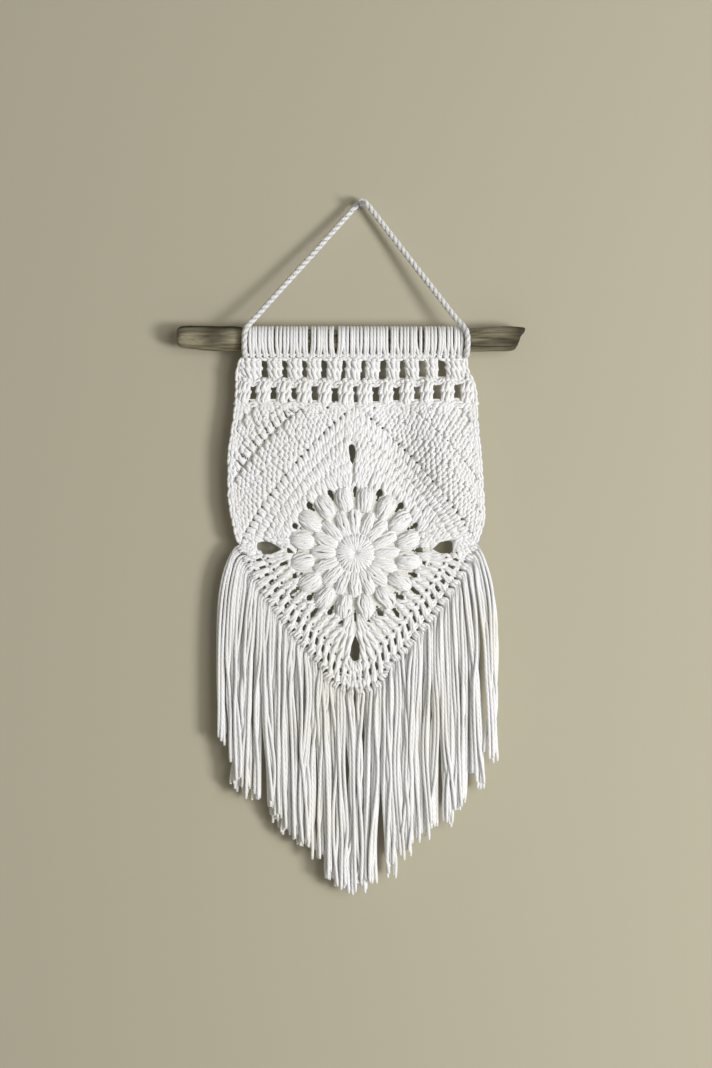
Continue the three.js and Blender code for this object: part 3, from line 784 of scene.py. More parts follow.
def cluster_level(row, x):
    """The uneven line under or over a row of clusters: 0 under the heading, 1 between the rows, 2 below."""
    level, wave, sag, wide = CLUSTER_LINES[row]
    _count, first, pitch = CLUSTER_GAPS[1][:3]
    return level + wave * np.cos((x - first) / pitch * 2 * math.pi) - sag * np.exp(-((x / wide) ** 2))


def make_clusters(yarn, radius, rng, pitch):
    """Two rows of clusters of three or four, with openings between them and a chain over the lower ones."""
    for r, gaps in enumerate(cluster_gaps()):
        level = CLUSTER_GAPS[r][3]
        starts = [along(LEFT_EDGE, level) + 1.2] + [gap[0] + gap[2] for gap in gaps]
        ends = [gap[0] - gap[2] for gap in gaps] + [along(RIGHT_EDGE, level) - 1.2]
        slants = [0] + [gap[4] for gap in gaps] + [0]
        for i, (a, b) in enumerate(zip(starts, ends)):
            count = 3 if b - a < 11 else 4
            slant = 0.5 * (slants[i] + slants[i + 1])
            bounds = np.linspace(a, b, count + 1)
            centre = 0.5 * (a + b)
            feet, tops = centre + (bounds - centre) * 0.86 + slant, bounds - slant
            foot = np.stack([feet, cluster_level(r + 1, feet) + 0.4], -1)
            top = np.stack([tops, cluster_level(r, tops) - 0.2], -1)
            belly = 1.7 * np.sin((np.arange(count) + 0.5) / count * math.pi) - 0.1
            quads = row_quads(foot, top)
            work(yarn, quads, CLUSTER, radius * 1.1, rng, pitch * 0.72, lift=belly, flip=r == 1)
        for x, _z, half, _high, slant in gaps if r == 1 else ():
            x = np.linspace(x - slant - half - 1.5, x - slant + half + 1.5, 9)
            line = np.stack([x, cluster_level(r, x) - 1.2 + 0.5 * rng.normal()], -1)
            braid_along(yarn, line, radius * 0.95, rng, 3.6, 2.8)


def triangle_point(side, w, t):
    """A place in a corner triangle: w from the side corner to the top, t from the diamond outwards."""
    edge = side_edge(side)
    low, top = upper_edge(side, 0.0), upper_edge(side, 1.0)
    side_z = lerp(low[1], CLUSTER_BOTTOM, t)
    bulge = upper_edge(side, w) - np.stack([lerp(low[0], 0, w), lerp(low[1], top[1], w)], -1)
    outer_x = along(edge, side_z) - side * 1.2
    x = lerp(outer_x, lerp(0, along(edge, CLUSTER_BOTTOM), t), w) + bulge[..., 0] * (1 - t)
    z = lerp(side_z, lerp(top[1], CLUSTER_BOTTOM, t), w) + bulge[..., 1] * (1 - t)
    return np.stack([x, z], -1)


def triangle_rows(side):
    """Boundary points of the rows of a corner triangle, feet and tops."""
    rows = []
    crease = 0.14 if side < 0 else 0.05
    for r, (count, after) in enumerate(zip(TRIANGLE_STITCHES, TRIANGLE_STITCHES[1:] + [0])):
        i = np.arange(count + 1)
        foot = i / count
        top = np.clip((i - (count - after) / 2) / max(after, 1), 0, 1)
        if side > 0:
            foot, top = 1 - foot, 1 - top
        low, high = (crease, 0.98) if r in (2, 4) else (-0.04, 1 - crease if r in (1, 3) else 0.98)
        rows.append((triangle_point(side, foot, (r + low) / 5), triangle_point(side, top, (r + high) / 5)))
    return rows


def make_triangle(yarn, side, radius, rng, pitch):
    """Rows parallel to an upper edge of the diamond, with a crease every second row."""
    for r, (foot, top) in enumerate(triangle_rows(side)):
        stitch, snug = (POST, pitch * 0.9) if r == 2 and side < 0 else (SEED, pitch * 1.05)
        quads = row_quads(foot, top)
        work(yarn, quads, stitch, radius, rng, snug, lean=0.15 * -side, lift=0.2, flip=side > 0)
    if side > 0:
        line = triangle_point(side, np.linspace(0.12, 0.98, 40), 0.31)
        braid_along(yarn, line, radius * 0.72, rng, 5.0, 1.4, lift=-0.1)
    x = np.linspace(2.0, along(side_edge(side), CLUSTER_BOTTOM) * side - 2.5, 60) * side
    braid_along(yarn, np.stack([x, cluster_level(2, x) - 0.8], -1), radius * 0.95, rng, 5.2, 3.0, lift=-0.4)


def make_border(yarn, radius, rng):
    """The turning chains down both side edges."""
    z = np.linspace(-97.5, -212.5, 80)
    for side in (-1, 1):
        x = along(side_edge(side), z) - side * (0.9 + 0.35 * np.sin(z / 1.7))
        braid_along(yarn, np.stack([x, z], -1), radius, rng, 5.0, 2.6)


def make_square_round(yarn, radius, rng, pitch, lower):
    """The round that squares the flower: clusters and, at the corners, groups round teardrop eyelets."""
    for quarter in range(4):
        start, end = corner_reach(quarter, True), 1 - corner_reach(quarter + 1, False)
        dense = quarter in (0, 3)
        foot, each, thick = (8.0, 4, radius) if dense else (6.4, 3, radius * 1.12)
        marks = np.linspace(start, end, 5 * each + 1) if dense else lower_marks(quarter, lower)[0][1:-1]
        for group in range(5):
            at = marks[group * each:(group + 1) * each + 1]
            if group in (0, 4):
                corner = quarter + (group == 4)
                beside = 0.8 if corner % 2 else 0.5
                if group == 0:
                    at = np.append(marks[0] * beside, at)
                    across = np.linspace(0.8, foot, each + 2)
                else:
                    at = np.append(at, 1 - (1 - marks[-1]) * beside)
                    across = np.linspace(-foot, -0.8, each + 2)
                angle, near = corner_angle(corner), 40.4
            else:
                across = np.linspace(-foot, foot, each + 1)
                angle, near = (quarter * 4 + group) * PETAL_STEP, 40.0
            feet = ray_point(angle, near + 1.8 * (across / foot) ** 2, across)
            tops = square_point(quarter, at, SQUARE_SHARE)
            stitch = (TALL if group in (0, 4) else POST) if dense else WRAP
            work(yarn, row_quads(feet, tops), stitch, thick, rng, pitch, lift=0.3, flip=quarter == 2)
        rim = eyelet_outline(quarter, 1.0)
        rim = rim + rng.normal(0, 0.25, rim.shape)
        for out in (0.2, -1.0):
            yarn.add(smooth(on_cloth(rim, out + rng.normal(0, 0.3, len(rim)))[None], 40), radius)


def make_last_round(yarn, radius, rng, pitch, upper, lower):
    """Posts round the diamond: close and leaning to the top above, open below, in fans at the corners."""
    for quarter in range(4):
        if quarter in (0, 3):
            end = 1 / (upper + 2)
            feet = square_point(quarter, np.linspace(0.05, 0.95, upper + 1), SQUARE_SHARE)
            tops = square_point(quarter, np.linspace(end, 1 - end, upper + 1), OUTER_SHARE)
            lean = -0.5 if quarter == 0 else 0.5
            work(yarn, row_quads(feet, tops), POST, radius, rng, pitch, lean=lean, lift=0.1)
        else:
            posts = row_quads(*lower_posts(quarter, lower))
            work(yarn, posts, TWIST, radius * 1.1, rng, pitch * 0.9, lift=0.1)
            for share in (0.83, 0.945):
                line = square_point(quarter, np.linspace(0.05, 0.95, 80), share)
                braid_along(yarn, line, radius * 1.05, rng, 5.97, 2.6, lift=-1.3)
        fan = row_quads(*corner_fan(quarter))
        work(yarn, fan, WRAP if quarter == 2 else TALL, radius * 1.1, rng, pitch, lift=0.1)


def puff(yarn, angles, size, rise, radius, rng):
    """Rounded clusters of loose strands along rays from the flower's centre."""
    v = np.array([-.06, .04, .2, .42, .64, .84, .97, 1.05])
    belly = np.array([.0, .45, .82, 1.0, .98, .74, .3, .0])
    half = lerp(np.where(v < 0.45, size["foot"], size["top"]), size["half"], belly)
    k, n = len(angles), len(v)
    for face, count in size["strands"].items():
        for across in np.linspace(-1, 1, count):
            bow = np.sqrt(1 - 0.9 * across**2)
            twist = rng.normal(0, 0.35, (k, 1)) * (v - 0.5)
            side = np.clip(across + twist, -1, 1) * half
            side = side + rng.normal(0, 0.32, (k, n)) + rng.normal(0, 0.3, (k, 1))
            out = face * (0.3 + rise * belly * bow * (1 if face > 0 else 0.5)) + rng.normal(0, 0.2, (k, n))
            out[:, [0, -1]] = -face * 0.6
            place = ray_point(angles[:, None], lerp(size["near"], size["far"], v)[None], side)
            yarn.add(smooth(on_cloth(place, out), 10), radius)


def make_flower(yarn, radius, rng, rise):
    """The flower: a domed centre, a round of petals and a round of larger puffs."""
    angles = np.arange(PETALS) * PETAL_STEP
    bounds = np.append(angles, 2 * math.pi) + PETAL_STEP / 4
    for turn, near, far in ((0, 1.2, 12.8), (0.5, 1.0, 12.4)):
        turned = bounds + turn * PETAL_STEP
        quads = row_quads(ray_point(turned, near), ray_point(turned, far))
        work(yarn, quads, SPOKE, radius * 0.9, rng, 4.4, lift=1.6)
    puff(yarn, angles, PETAL, rise * 0.7, radius * 1.02, rng)
    puff(yarn, angles + PETAL_STEP / 2, PUFF, rise, radius * 1.08, rng)


# The ground of the cloth


def inside(outline, x, z):
    """Which of the points lie in a closed outline."""
    result = np.zeros(x.shape, bool)
    for (ax, az), (bx, bz) in zip(outline, np.roll(outline, -1, axis=0)):
        crosses = (az > z) != (bz > z)
        rise = bz - az if bz != az else 1e-9
        result ^= crosses & (x < (bx - ax) * (z - az) / rise + ax)
    return result


def panel_outline(inset):
    """The panel's whole outline, drawn in a little."""
    z = np.linspace(-97, -211, 40)
    t = np.linspace(0.02, 1, 40)
    right, left = (
        np.concatenate([np.stack([along(side_edge(side), z) - side * inset, z], -1),
                        lower_edge(side, t, 1 - inset / 80)])
        for side in (1, -1)
    )
    return np.concatenate([right, left[::-1]])


def make_ground(grid, small, material):
    """The thin ground of the cloth behind the stitches, open where the crochet is open, and its area."""
    x, z = np.meshgrid(np.arange(-82, 82 + grid, grid), np.arange(-306, -96 + grid, grid))
    cx, cz = x[:-1, :-1] + grid / 2, z[:-1, :-1] + grid / 2
    keep = inside(panel_outline(2.0), cx, cz)
    openings = [eyelet_outline(corner, 0.5) for corner in range(4)]
    for gx, gz, half, high, slant in sum(cluster_gaps(), []):
        w, h = half + 0.9, high + 1.0
        leaning = ((slant - w, -h), (slant + w, -h), (w - slant, h), (-slant - w, h))
        openings.append(np.array(leaning) + (gx, gz))
    for outline in openings:
        keep &= ~inside(outline, cx, cz)
    for px, pz, size in small:
        keep &= (cx - px) ** 2 + (cz - pz) ** 2 > (size + 0.3) ** 2
    rows, cols = np.nonzero(keep)
    wide = x.shape[1]
    a = rows * wide + cols
    quads = np.stack([a, a + 1, a + wide + 1, a + wide], -1)
    used, corners = np.unique(quads, return_inverse=True)
    x, z = x.ravel()[used], z.ravel()[used]
    flat = np.stack([x, z], -1)
    bumps = 0.25 * np.sin(x * 2.1 + np.sin(z * 1.3)) * np.sin(z * 2.3 + np.sin(x * 1.1))
    out = np.interp(np.hypot(x, z - FLOWER_Z), (41.5, 44.5), (-0.1, 0.6))
    for t, deep in ((0.4, 1.8), (0.8, 1.2)):
        crease = triangle_point(-1, np.linspace(0, 1, 80), t)
        near = np.min(np.linalg.norm(flat[:, None] - crease, axis=-1), axis=1)
        out -= deep * np.exp(-((near / 1.3) ** 2))
    totals = np.full(len(quads), 4)
    made = mesh_object("ground_cloth", on_cloth(flat, out + bumps), corners.ravel(), totals, material)
    return made, len(quads) * grid**2


# Fringe and cord


def knot_places():
    """Knots along a lower edge: one on each post and one more at either end."""
    places = np.linspace(0.07, 0.93, 18)
    return np.concatenate([[0.035], 0.5 * (places[1:] + places[:-1]), [0.965]])


def fringe_paths(side, per_knot, rng):
    """Strands drawn through the edge in groups and hanging from it in loose locks."""
    middle = knot_places()
    knots = len(middle)
    count = knots * per_knot
    knot = np.repeat(np.arange(knots), per_knot)
    order = np.tile(np.arange(per_knot), knots)
    aside = order - (per_knot - 1) / 2
    share = (knot + (order + 0.5) / per_knot) / knots
    t = np.clip(middle[knot] + aside * 0.0075, 0.004, 1)
    root = beside_edge(side, t, 2.2)
    reach, soon = FLARE[side]
    spread = side * reach * np.exp(-share / FLARE["fade"])
    loose = np.where(middle < 0.9, 1, 0.35)[:, None]
    lock = np.repeat(rng.normal(0, 1.0, (knots, 5)) * loose, per_knot, axis=0)
    lock_drift, lock_wave, lock_phase, _spare, longer = lock.T[..., None]
    drift, wave, phase, bow, flick, flicks = rng.normal(0, 1.0, (count, 6)).T[..., None]
    drop = np.interp(share, DROPS["place"], DROPS[side]) + 2.6 * longer[:, 0] + rng.normal(0, 2.5, count)
    ahead = np.where(order % 2 == 0, 1, -1) * np.where(rng.random(count) < 0.2, -1, 1)
    layer = np.where(ahead > 0, 1.4, -1.0) + rng.normal(0, 0.6, count)
    down = np.linspace(0.0, 1.0, 34) ** 1.1
    ease = np.minimum(1, down * 5)
    x = root[:, :1] + spread[:, None] * (1 - np.exp(-soon * down) - 0.15 * down**2)
    x = x + 3.2 * lock_drift * down**1.3 + 1.2 * drift * down
    x = x + 1.2 * lock_wave * np.sin(down * 4.5 + 2 * lock_phase) * ease
    x = x + 0.9 * wave * np.sin(down * 8 + 3 * phase) * ease
    x = x + 2.0 * flick * np.clip(down - 0.8, 0, 1) * 5 * (np.abs(flicks) > 0.8)
    x = x + side * aside[:, None] * 0.35 * (1 - np.exp(-30 * down))
    x = x + side * 1.4 * np.exp(-(((down - 0.04) / 0.05) ** 2)) * (0.7 + 0.4 * bow)
    z = root[:, 1:] - drop[:, None] * down
    out = layer[:, None] * np.clip(0.3 + down * 6, 0, 1) + 0.9 * bow * down
    out = out + 0.9 * lock_phase * np.sin(down * 5 + lock_wave * 3) * ease
    return x, z, out, t, ahead, root


def press_apart(x, z, out, radius, rounds=14):
    """Presses strands apart level by level until they only touch."""
    levels = np.arange(z.max(), z.min(), -4.0)
    each = np.arange(len(x))
    at = np.array([[np.interp(-levels, -z[i], way[i]) for i in each] for way in (x, out)])
    live = (levels[None] <= z[:, :1] - 3) & (levels[None] >= z[:, -1:] - 4)
    for _ in range(rounds):
        apart = at[:, :, None] - at[:, None]
        far = np.sqrt(apart[0] ** 2 + apart[1] ** 2) + 1e-6
        near = np.clip(1.9 * radius - far, 0, None) * live[:, None] * live[None]
        near[each, each] = 0
        at = at + 0.28 * np.sum(near * apart / far, axis=2)
        at[..., 1:-1] = 0.5 * at[..., 1:-1] + 0.25 * (at[..., 2:] + at[..., :-2])
        at[1] = np.clip(at[1], -4.2, 4.2)
    for i in each:
        free = np.clip((z[i, 0] - z[i]) / 10, 0, 1)
        for way, pressed in zip((x, out), at):
            way[i] = lerp(way[i], np.interp(-z[i], -levels, pressed[i]), free)
    return x, out


def make_fringe(yarn, side, per_knot, radius, rng):
    """Knots over the posts of one lower edge, and the strands that hang from under them."""
    x, z, out, t, ahead, root = fringe_paths(side, per_knot, rng)
    x, out = press_apart(x, z, out, radius)
    hang = np.stack([x + PANEL_X, cloth_y(root[:, :1], root[:, 1:]) - out, z], -1)
    start = on_cloth(beside_edge(side, t, -1.2), np.where(ahead > 0, -0.4, -1.6))
    edge = on_cloth(beside_edge(side, t, 0.8), np.where(ahead > 0, 1.0, -1.4))
    paths = np.concatenate([np.stack([start, edge], 1), hang], 1)
    thin = np.append(np.ones(FRINGE_POINTS - 1), 0.75)
    yarn.add(smooth(paths, FRINGE_POINTS), radius, taper=thin)
    places = knot_places()
    far = np.array([-2.2, -1.9, -1.0, 0.3, 1.4, 2.0])
    high = np.array([-1.0, 0.6, 1.5, 1.7, 1.3, -0.2])
    shape = (len(places), len(far))
    for across in (-0.007, 0.007):
        at = places + across + rng.normal(0, 0.002, len(places))
        loop = beside_edge(side, at[:, None], far + rng.normal(0, 0.2, shape))
        yarn.add(smooth(on_cloth(loop, high + rng.normal(0, 0.2, shape)), 10), radius)


def make_cord(yarn, diameter, turn):
    """Two strands twisted together along the route; gives the line they follow and its length."""
    route = smooth([CORD_ROUTE], 900)[0]
    run = distances(route)
    at = np.linspace(0, run[-1], 330)
    line = points_at(route, run, at)
    tangent = unit(np.gradient(line, axis=0))
    flat = unit(np.cross(tangent, np.array([0.0, 1.0, 0.0])))
    other = np.cross(tangent, flat)
    strand = diameter * STRAND_SHARE
    for phase in (0, math.pi):
        twist = (at / turn * 2 * math.pi + phase)[:, None]
        around = flat * np.cos(twist) + other * np.sin(twist)
        yarn.add((line + around * (diameter / 2 - strand))[None], strand, sides=7)
    return line, run[-1]


# Materials


def rgba(colour, share=1.0):
    return (*(part * share for part in colour), 1.0)


class Paint:
    """A procedural material in the making: each call adds a node and gives what it puts out."""

    def __init__(self, name):
        self.material = bpy.data.materials.new(name)
        self.material.use_nodes = True
        self.tree = self.material.node_tree
        self.shader = self.tree.nodes["Principled BSDF"]
        self.coords = self.tree.nodes.new("ShaderNodeTexCoord").outputs

    def feed(self, socket, value):
        """Links a node's output to a socket, or sets a constant on it."""
        if isinstance(value, bpy.types.NodeSocket):
            self.tree.links.new(value, socket)
        else:
            socket.default_value = value

    def node(self, kind, inputs, **settings):
        made = self.tree.nodes.new(kind)
        for name, value in settings.items():
            setattr(made, name, value)
        for name, value in inputs.items():
            self.feed(made.inputs[name], value)
        return made.outputs

    def noise(self, vector, scale, **inputs):
        return self.node("ShaderNodeTexNoise", {"Vector": vector, "Scale": scale, **inputs})["Fac"]

    def stretched(self, scale, location=(0, 0, 0)):
        inputs = {"Vector": self.coords["Object"], "Scale": scale, "Location": location}
        return self.node("ShaderNodeMapping", inputs)[0]

    def split(self, coords):
        return self.node("ShaderNodeSeparateXYZ", {0: self.coords[coords]})

    def ranged(self, value, low, high, most):
        """Nothing at low, the most at high."""
        inputs = {"Value": value, "From Min": low, "From Max": high, "To Max": most}
        return self.node("ShaderNodeMapRange", inputs)[0]

    def maths(self, operation, *values):
        return self.node("ShaderNodeMath", dict(enumerate(values)), operation=operation)[0]

    def mix(self, factor, a, b, blend="MIX"):
        return self.node("ShaderNodeMix", {0: factor, 6: a, 7: b}, data_type="RGBA", blend_type=blend)[2]

    def ramp(self, value, first, between, last):
        """A colour ramp of three stops, each a place and a colour."""
        made = self.node("ShaderNodeValToRGB", {0: value})[0]
        stops = made.node.color_ramp.elements
        stops[0].position, stops[0].color = first
        stops[1].position, stops[1].color = last
        stops.new(between[0]).color = between[1]
        return made

    def bump(self, height, strength, distance):
        inputs = {"Height": height, "Strength": strength, "Distance": distance}
        return self.node("ShaderNodeBump", inputs)[0]

    def finish(self, inputs):
        """The material, with its shader's sockets fed."""
        for name, value in inputs.items():
            self.feed(self.shader.inputs[name], value)
        return self.material


def yarn_material(name, yarn, cream_share, soft=0.75):
    """Plied cotton: three twisted plies in the bump, fine fibres, slow drifts from white to cream, and
    painted shade in the grooves between the plies.
    """
    paint = Paint(name)
    drift = paint.noise(paint.coords["Object"], 28.0, Detail=3.0)
    fibre = paint.noise(paint.coords["Object"], 1500.0, Detail=4.0, Roughness=0.7)
    strand = paint.split("UV")
    phase = paint.maths("ADD", paint.maths("MULTIPLY", strand[0], 3.0), strand[1])
    groove = paint.maths("ABSOLUTE", paint.maths("SINE", paint.maths("MULTIPLY", phase, math.pi)))
    ply = paint.maths("POWER", groove, 0.6)
    base = paint.mix(paint.ranged(drift, 0.35, 0.68, cream_share), rgba(yarn.white), rgba(yarn.cream))
    # Painted shade: the colour darkens towards a dimmed cream in the grooves between the plies.
    shade = paint.maths("MULTIPLY", paint.maths("SUBTRACT", 1.0, ply), 0.4)
    height = paint.maths("ADD", ply, paint.maths("MULTIPLY", fibre, 0.5))
    return paint.finish({
        "Base Color": paint.mix(shade, base, rgba(yarn.cream, 0.72)),
        "Normal": paint.bump(height, 0.45, 0.0003),
        "Roughness": 0.85,
        "Specular IOR Level": 0.25,
        "Subsurface Weight": soft,
        "Subsurface Radius": (1.0, 1.0, 1.0),
        "Subsurface Scale": 0.0016,
        "Sheen Weight": 0.25,
        "Sheen Roughness": 0.5,
    })


def painted_shade_ground_material(cream):
    """The same cotton seen deep between the stitches, with a fine fibre grain, in a darker cream than the
    yarn: painted shade for the depths.
    """
    paint = Paint("cotton_ground_painted_shade")
    fibre = paint.noise(paint.coords["Object"], 900.0, Detail=4.0)
    return paint.finish({
        # Painted shade: a darker cream than the yarn's white stands for the shade deep between the stitches;
        # the fibre grain varies it.
        "Base Color": paint.mix(fibre, rgba(cream, 0.8), rgba(cream)),
        "Normal": paint.bump(fibre, 0.5, 0.0004),
        "Roughness": 0.9,
    })


def wood_material(pale, dark):
    """Weathered driftwood: grey ridges, brown hollows, cracks along the grain, a dark end and a knot."""
    paint = Paint("weathered_driftwood")
    coarse = paint.stretched((14.0, 190.0, 190.0))
    grain = paint.noise(coarse, 1.0, Detail=8.0, Roughness=0.65, Distortion=0.6)
    slow = paint.noise(paint.coords["Object"], 45.0, Detail=3.0)
    fine = paint.noise(paint.stretched((60.0, 900.0, 900.0)), 1.0, Detail=4.0, Roughness=0.6)
    between = [lerp(d, p, 0.45) for d, p in zip(dark, pale)]
    ridges = paint.ramp(grain, (0.33, rgba(dark)), (0.48, rgba(between)), (0.66, rgba(pale)))
    warm = paint.mix(slow, ridges, (0.19, 0.12, 0.075, 1.0), "MULTIPLY")
    colour = paint.mix(paint.ranged(slow, 0.4, 0.75, 0.35), ridges, warm)
    cracks = paint.ranged(fine, 0.5, 0.7, 0.6)
    broken_end = paint.ranged(paint.split("Object")[0], 0.087, 0.099, 0.85)
    long_knot = paint.stretched((0.5, 1.0, 1.0), (-KNOT[0] * 0.5, -KNOT[1], -KNOT[2]))
    away = paint.node("ShaderNodeVectorMath", {0: long_knot}, operation="LENGTH")["Value"]
    ragged = paint.maths("ADD", away, paint.maths("MULTIPLY", grain, 0.006))
    knot = paint.ranged(ragged, 0.0095, 0.0058, 0.75)
    for share in (cracks, broken_end, knot):
        colour = paint.mix(share, colour, rgba(dark))
    height = paint.maths("SUBTRACT", grain, paint.maths("MULTIPLY", cracks, 0.3))
    return paint.finish({
        "Base Color": colour,
        "Normal": paint.bump(height, 0.6, 0.0008),
        "Roughness": 0.88,
        "Specular IOR Level": 0.2,
    })


def steel_material():
    """Dull wire-nail steel with faint handling marks."""
    paint = Paint("nail_steel")
    marks = paint.noise(paint.coords["Object"], 900.0, Detail=5.0)
    return paint.finish({
        "Base Color": paint.mix(marks, (0.30, 0.30, 0.30, 1), (0.55, 0.55, 0.54, 1)),
        "Roughness": paint.node("ShaderNodeMapRange", {"Value": marks, "To Min": 0.3, "To Max": 0.55})[0],
        "Metallic": 1.0,
    })


def plain_material(name, colour, one_sided=False):
    """A plain stage surface with a faint unevenness. One-sided, it isn't there from behind."""
    paint = Paint(name)
    cloud = paint.noise(paint.coords["Object"], 3.0)
    if one_sided:
        behind = paint.node("ShaderNodeNewGeometry", {})["Backfacing"]
        clear = paint.node("ShaderNodeBsdfTransparent", {})[0]
        mixed = paint.node("ShaderNodeMixShader", {0: behind, 1: paint.shader.outputs[0], 2: clear})[0]
        paint.feed(paint.tree.nodes["Material Output"].inputs["Surface"], mixed)
    return paint.finish({
        "Base Color": paint.mix(cloud, rgba(colour), rgba(colour, 0.96)),
        "Roughness": 0.95,
        "Specular IOR Level": 0.1,
    })


def cotton(context):
    """The panel's yarn, made once."""
    made = bpy.data.materials.get("plied_yarn")
    return made or yarn_material("plied_yarn", context.scene.hanging_yarn, 0.4, soft=0.0)


def yarn_radius(context):
    return context.scene.hanging_yarn.thickness / MM / 2


def new_yarn(context, holes=None):
    return Yarn(context.scene.hanging_yarn.ply_pitch / MM, holes)


# Operators


def select_only(*pieces):
    """Selects nothing but the given pieces, with the last one active."""
    if bpy.context.object and bpy.context.object.mode != "OBJECT":
        bpy.ops.object.mode_set(mode="OBJECT")
    bpy.ops.object.select_all(action="DESELECT")
    for piece in pieces:
        piece.select_set(True)
        bpy.context.view_layer.objects.active = piece


class HANGING_OT_camera(bpy.types.Operator):
    """Places the camera straight in front of the hanging"""

    bl_idname = "hanging.camera"
    bl_label = "Camera"

    def execute(self, context):
        distance = context.scene.hanging_stage.distance
        lens = bpy.data.cameras.new("front_camera")
        lens.sensor_fit = "VERTICAL"
        lens.sensor_height = SENSOR
        lens.lens = SENSOR * distance / (PICTURE_HEIGHT * PIXEL * MM)
        camera = bpy.data.objects.new("front_camera", lens)
        camera.location = (PICTURE_X * MM, PANEL_Y * MM - distance, PICTURE_Z * MM)
        camera.rotation_euler = UPRIGHT
        context.scene.collection.objects.link(camera)
        context.scene.camera = camera
        return {"FINISHED"}


class HANGING_OT_cord(bpy.types.Operator):
    """Twists the hanging cord along its route over the nail"""

    bl_idname = "hanging.cord"
    bl_label = "Hanging cord"

    def execute(self, context):
        sizes = context.scene.hanging_cord
        strands = new_yarn(context)
        line, length = make_cord(strands, sizes.diameter / MM, sizes.turn / MM)
        material = yarn_material("plied_cord", context.scene.hanging_yarn, 0.4)
        piece = settle(strands.make("twisted_cord", material), "cotton_cord", "hanging_cord")
        return {"FINISHED"}


class HANGING_OT_stick(bpy.types.Operator):
    """Draws the driftwood stick out ring by ring and weathers it"""

    bl_idname = "hanging.stick"
    bl_label = "Driftwood stick"

    def draw_out(self):
        """The stick's rings, extruded one after the other, with a slanting broken end."""
        x, radius, z = STICK[0]
        bpy.ops.mesh.primitive_circle_add(
            vertices=20, radius=radius * MM, fill_type="NGON",
            location=(x * MM, PANEL_Y * MM, z * MM), rotation=(0, math.pi / 2, 0),
        )
        bpy.ops.object.mode_set(mode="EDIT")
        bpy.ops.mesh.select_all(action="SELECT")
        for (x0, r0, z0), (x1, r1, z1) in zip(STICK, STICK[1:]):
            pieces = max(1, int(round((x1 - x0) / STICK_STEP)))
            for i in range(pieces):
                a, b = i / pieces, (i + 1) / pieces
                move = ((x1 - x0) / pieces * MM, 0, (z1 - z0) / pieces * MM)
                bpy.ops.mesh.extrude_region_move(TRANSFORM_OT_translate={"value": move})
                size = lerp(r0, r1, b) / lerp(r0, r1, a)
                centre = (lerp(x0, x1, b) * MM, PANEL_Y * MM, lerp(z0, z1, b) * MM)
                bpy.ops.transform.resize(value=(1, size, size), center_override=centre)
        bpy.ops.transform.rotate(value=math.radians(STICK_BREAK), orient_axis="Y", center_override=centre)
        bpy.ops.transform.vertex_random(offset=0.7 * MM, uniform=1.0, seed=5)
        bpy.ops.mesh.inset(thickness=0.8 * MM, depth=0.1 * MM)
        bpy.ops.mesh.inset(thickness=2.0 * MM, depth=-0.8 * MM)
        bpy.ops.mesh.select_all(action="SELECT")
        bpy.ops.mesh.normals_make_consistent(inside=False)
        bpy.ops.object.mode_set(mode="OBJECT")
        bpy.ops.object.transform_apply(location=True, rotation=True, scale=True)
        return bpy.context.object

    def weather(self, stick, context):
        """Rounds the stick and presses slow bends and fine grain into it."""
        modifier = stick.modifiers.new("rounding", "SUBSURF")
        modifier.levels = modifier.render_levels = 2
        bpy.ops.object.modifier_apply(modifier="rounding")
        bpy.ops.object.empty_add(type="PLAIN_AXES", location=(0, 0, 0))
        guide = context.object
        for name, size, noise, strength in WEATHERING:
            guide.scale = size
            context.view_layer.update()
            texture = bpy.data.textures.new(name, "CLOUDS")
            texture.noise_scale = noise
            texture.noise_depth = 3
            select_only(stick)
            modifier = stick.modifiers.new(name, "DISPLACE")
            modifier.texture = texture
            modifier.texture_coords = "OBJECT"
            modifier.texture_coords_object = guide
            modifier.strength = strength * MM
            modifier.mid_level = 0.55
            bpy.ops.object.modifier_apply(modifier=name)
            bpy.data.textures.remove(texture)
        bpy.data.objects.remove(guide)
        bpy.ops.object.shade_smooth()

    def execute(self, context):
        colours = context.scene.hanging_stick
        select_only()
        stick = self.draw_out()
        stick.name = stick.data.name = "weathered_stick"
        self.weather(stick, context)
        stick.data.materials.append(wood_material(colours.pale, colours.dark))
        settle(stick, "driftwood", "driftwood_stick")
        return {"FINISHED"}


class HANGING_OT_nail(bpy.types.Operator):
    """Draws the nail out of a rod and spreads its head"""

    bl_idname = "hanging.nail"
    bl_label = "Nail"

    def execute(self, context):
        end = -NAIL["shank"] * MM
        select_only()
        bpy.ops.mesh.primitive_cylinder_add(
            vertices=20, radius=NAIL["radius"] * MM, depth=-end, end_fill_type="NGON",
            location=(0, end / 2, 0), rotation=UPRIGHT,
        )
        nail = context.object
        nail.name = nail.data.name = "wire_nail"
        bpy.ops.object.transform_apply(location=True, rotation=True, scale=True)
        bpy.ops.object.mode_set(mode="EDIT")
        bpy.ops.mesh.select_all(action="DESELECT")
        bpy.ops.mesh.select_mode(type="FACE")
        shape = bmesh.from_edit_mesh(nail.data)
        for face in shape.faces:
            face.select_set(face.normal.y < -0.9)
        bmesh.update_edit_mesh(nail.data)
        for far, size in ((0, NAIL["head"]), (NAIL["thick"], 1), (NAIL["crown_thick"], NAIL["crown"])):
            end -= far * MM
            bpy.ops.mesh.extrude_region_move(TRANSFORM_OT_translate={"value": (0, -far * MM, 0)})
            bpy.ops.transform.resize(value=(size, size, size), center_override=(0, end, 0))
        bpy.ops.mesh.select_all(action="SELECT")
        bpy.ops.mesh.remove_doubles(threshold=1e-6)
        bpy.ops.mesh.normals_make_consistent(inside=False)
        bpy.ops.object.mode_set(mode="OBJECT")
        bpy.ops.object.shade_smooth_by_angle(angle=math.radians(35))
        nail.data.materials.append(steel_material())
        settle(nail, "nail_steel", "nail")
        return {"FINISHED"}


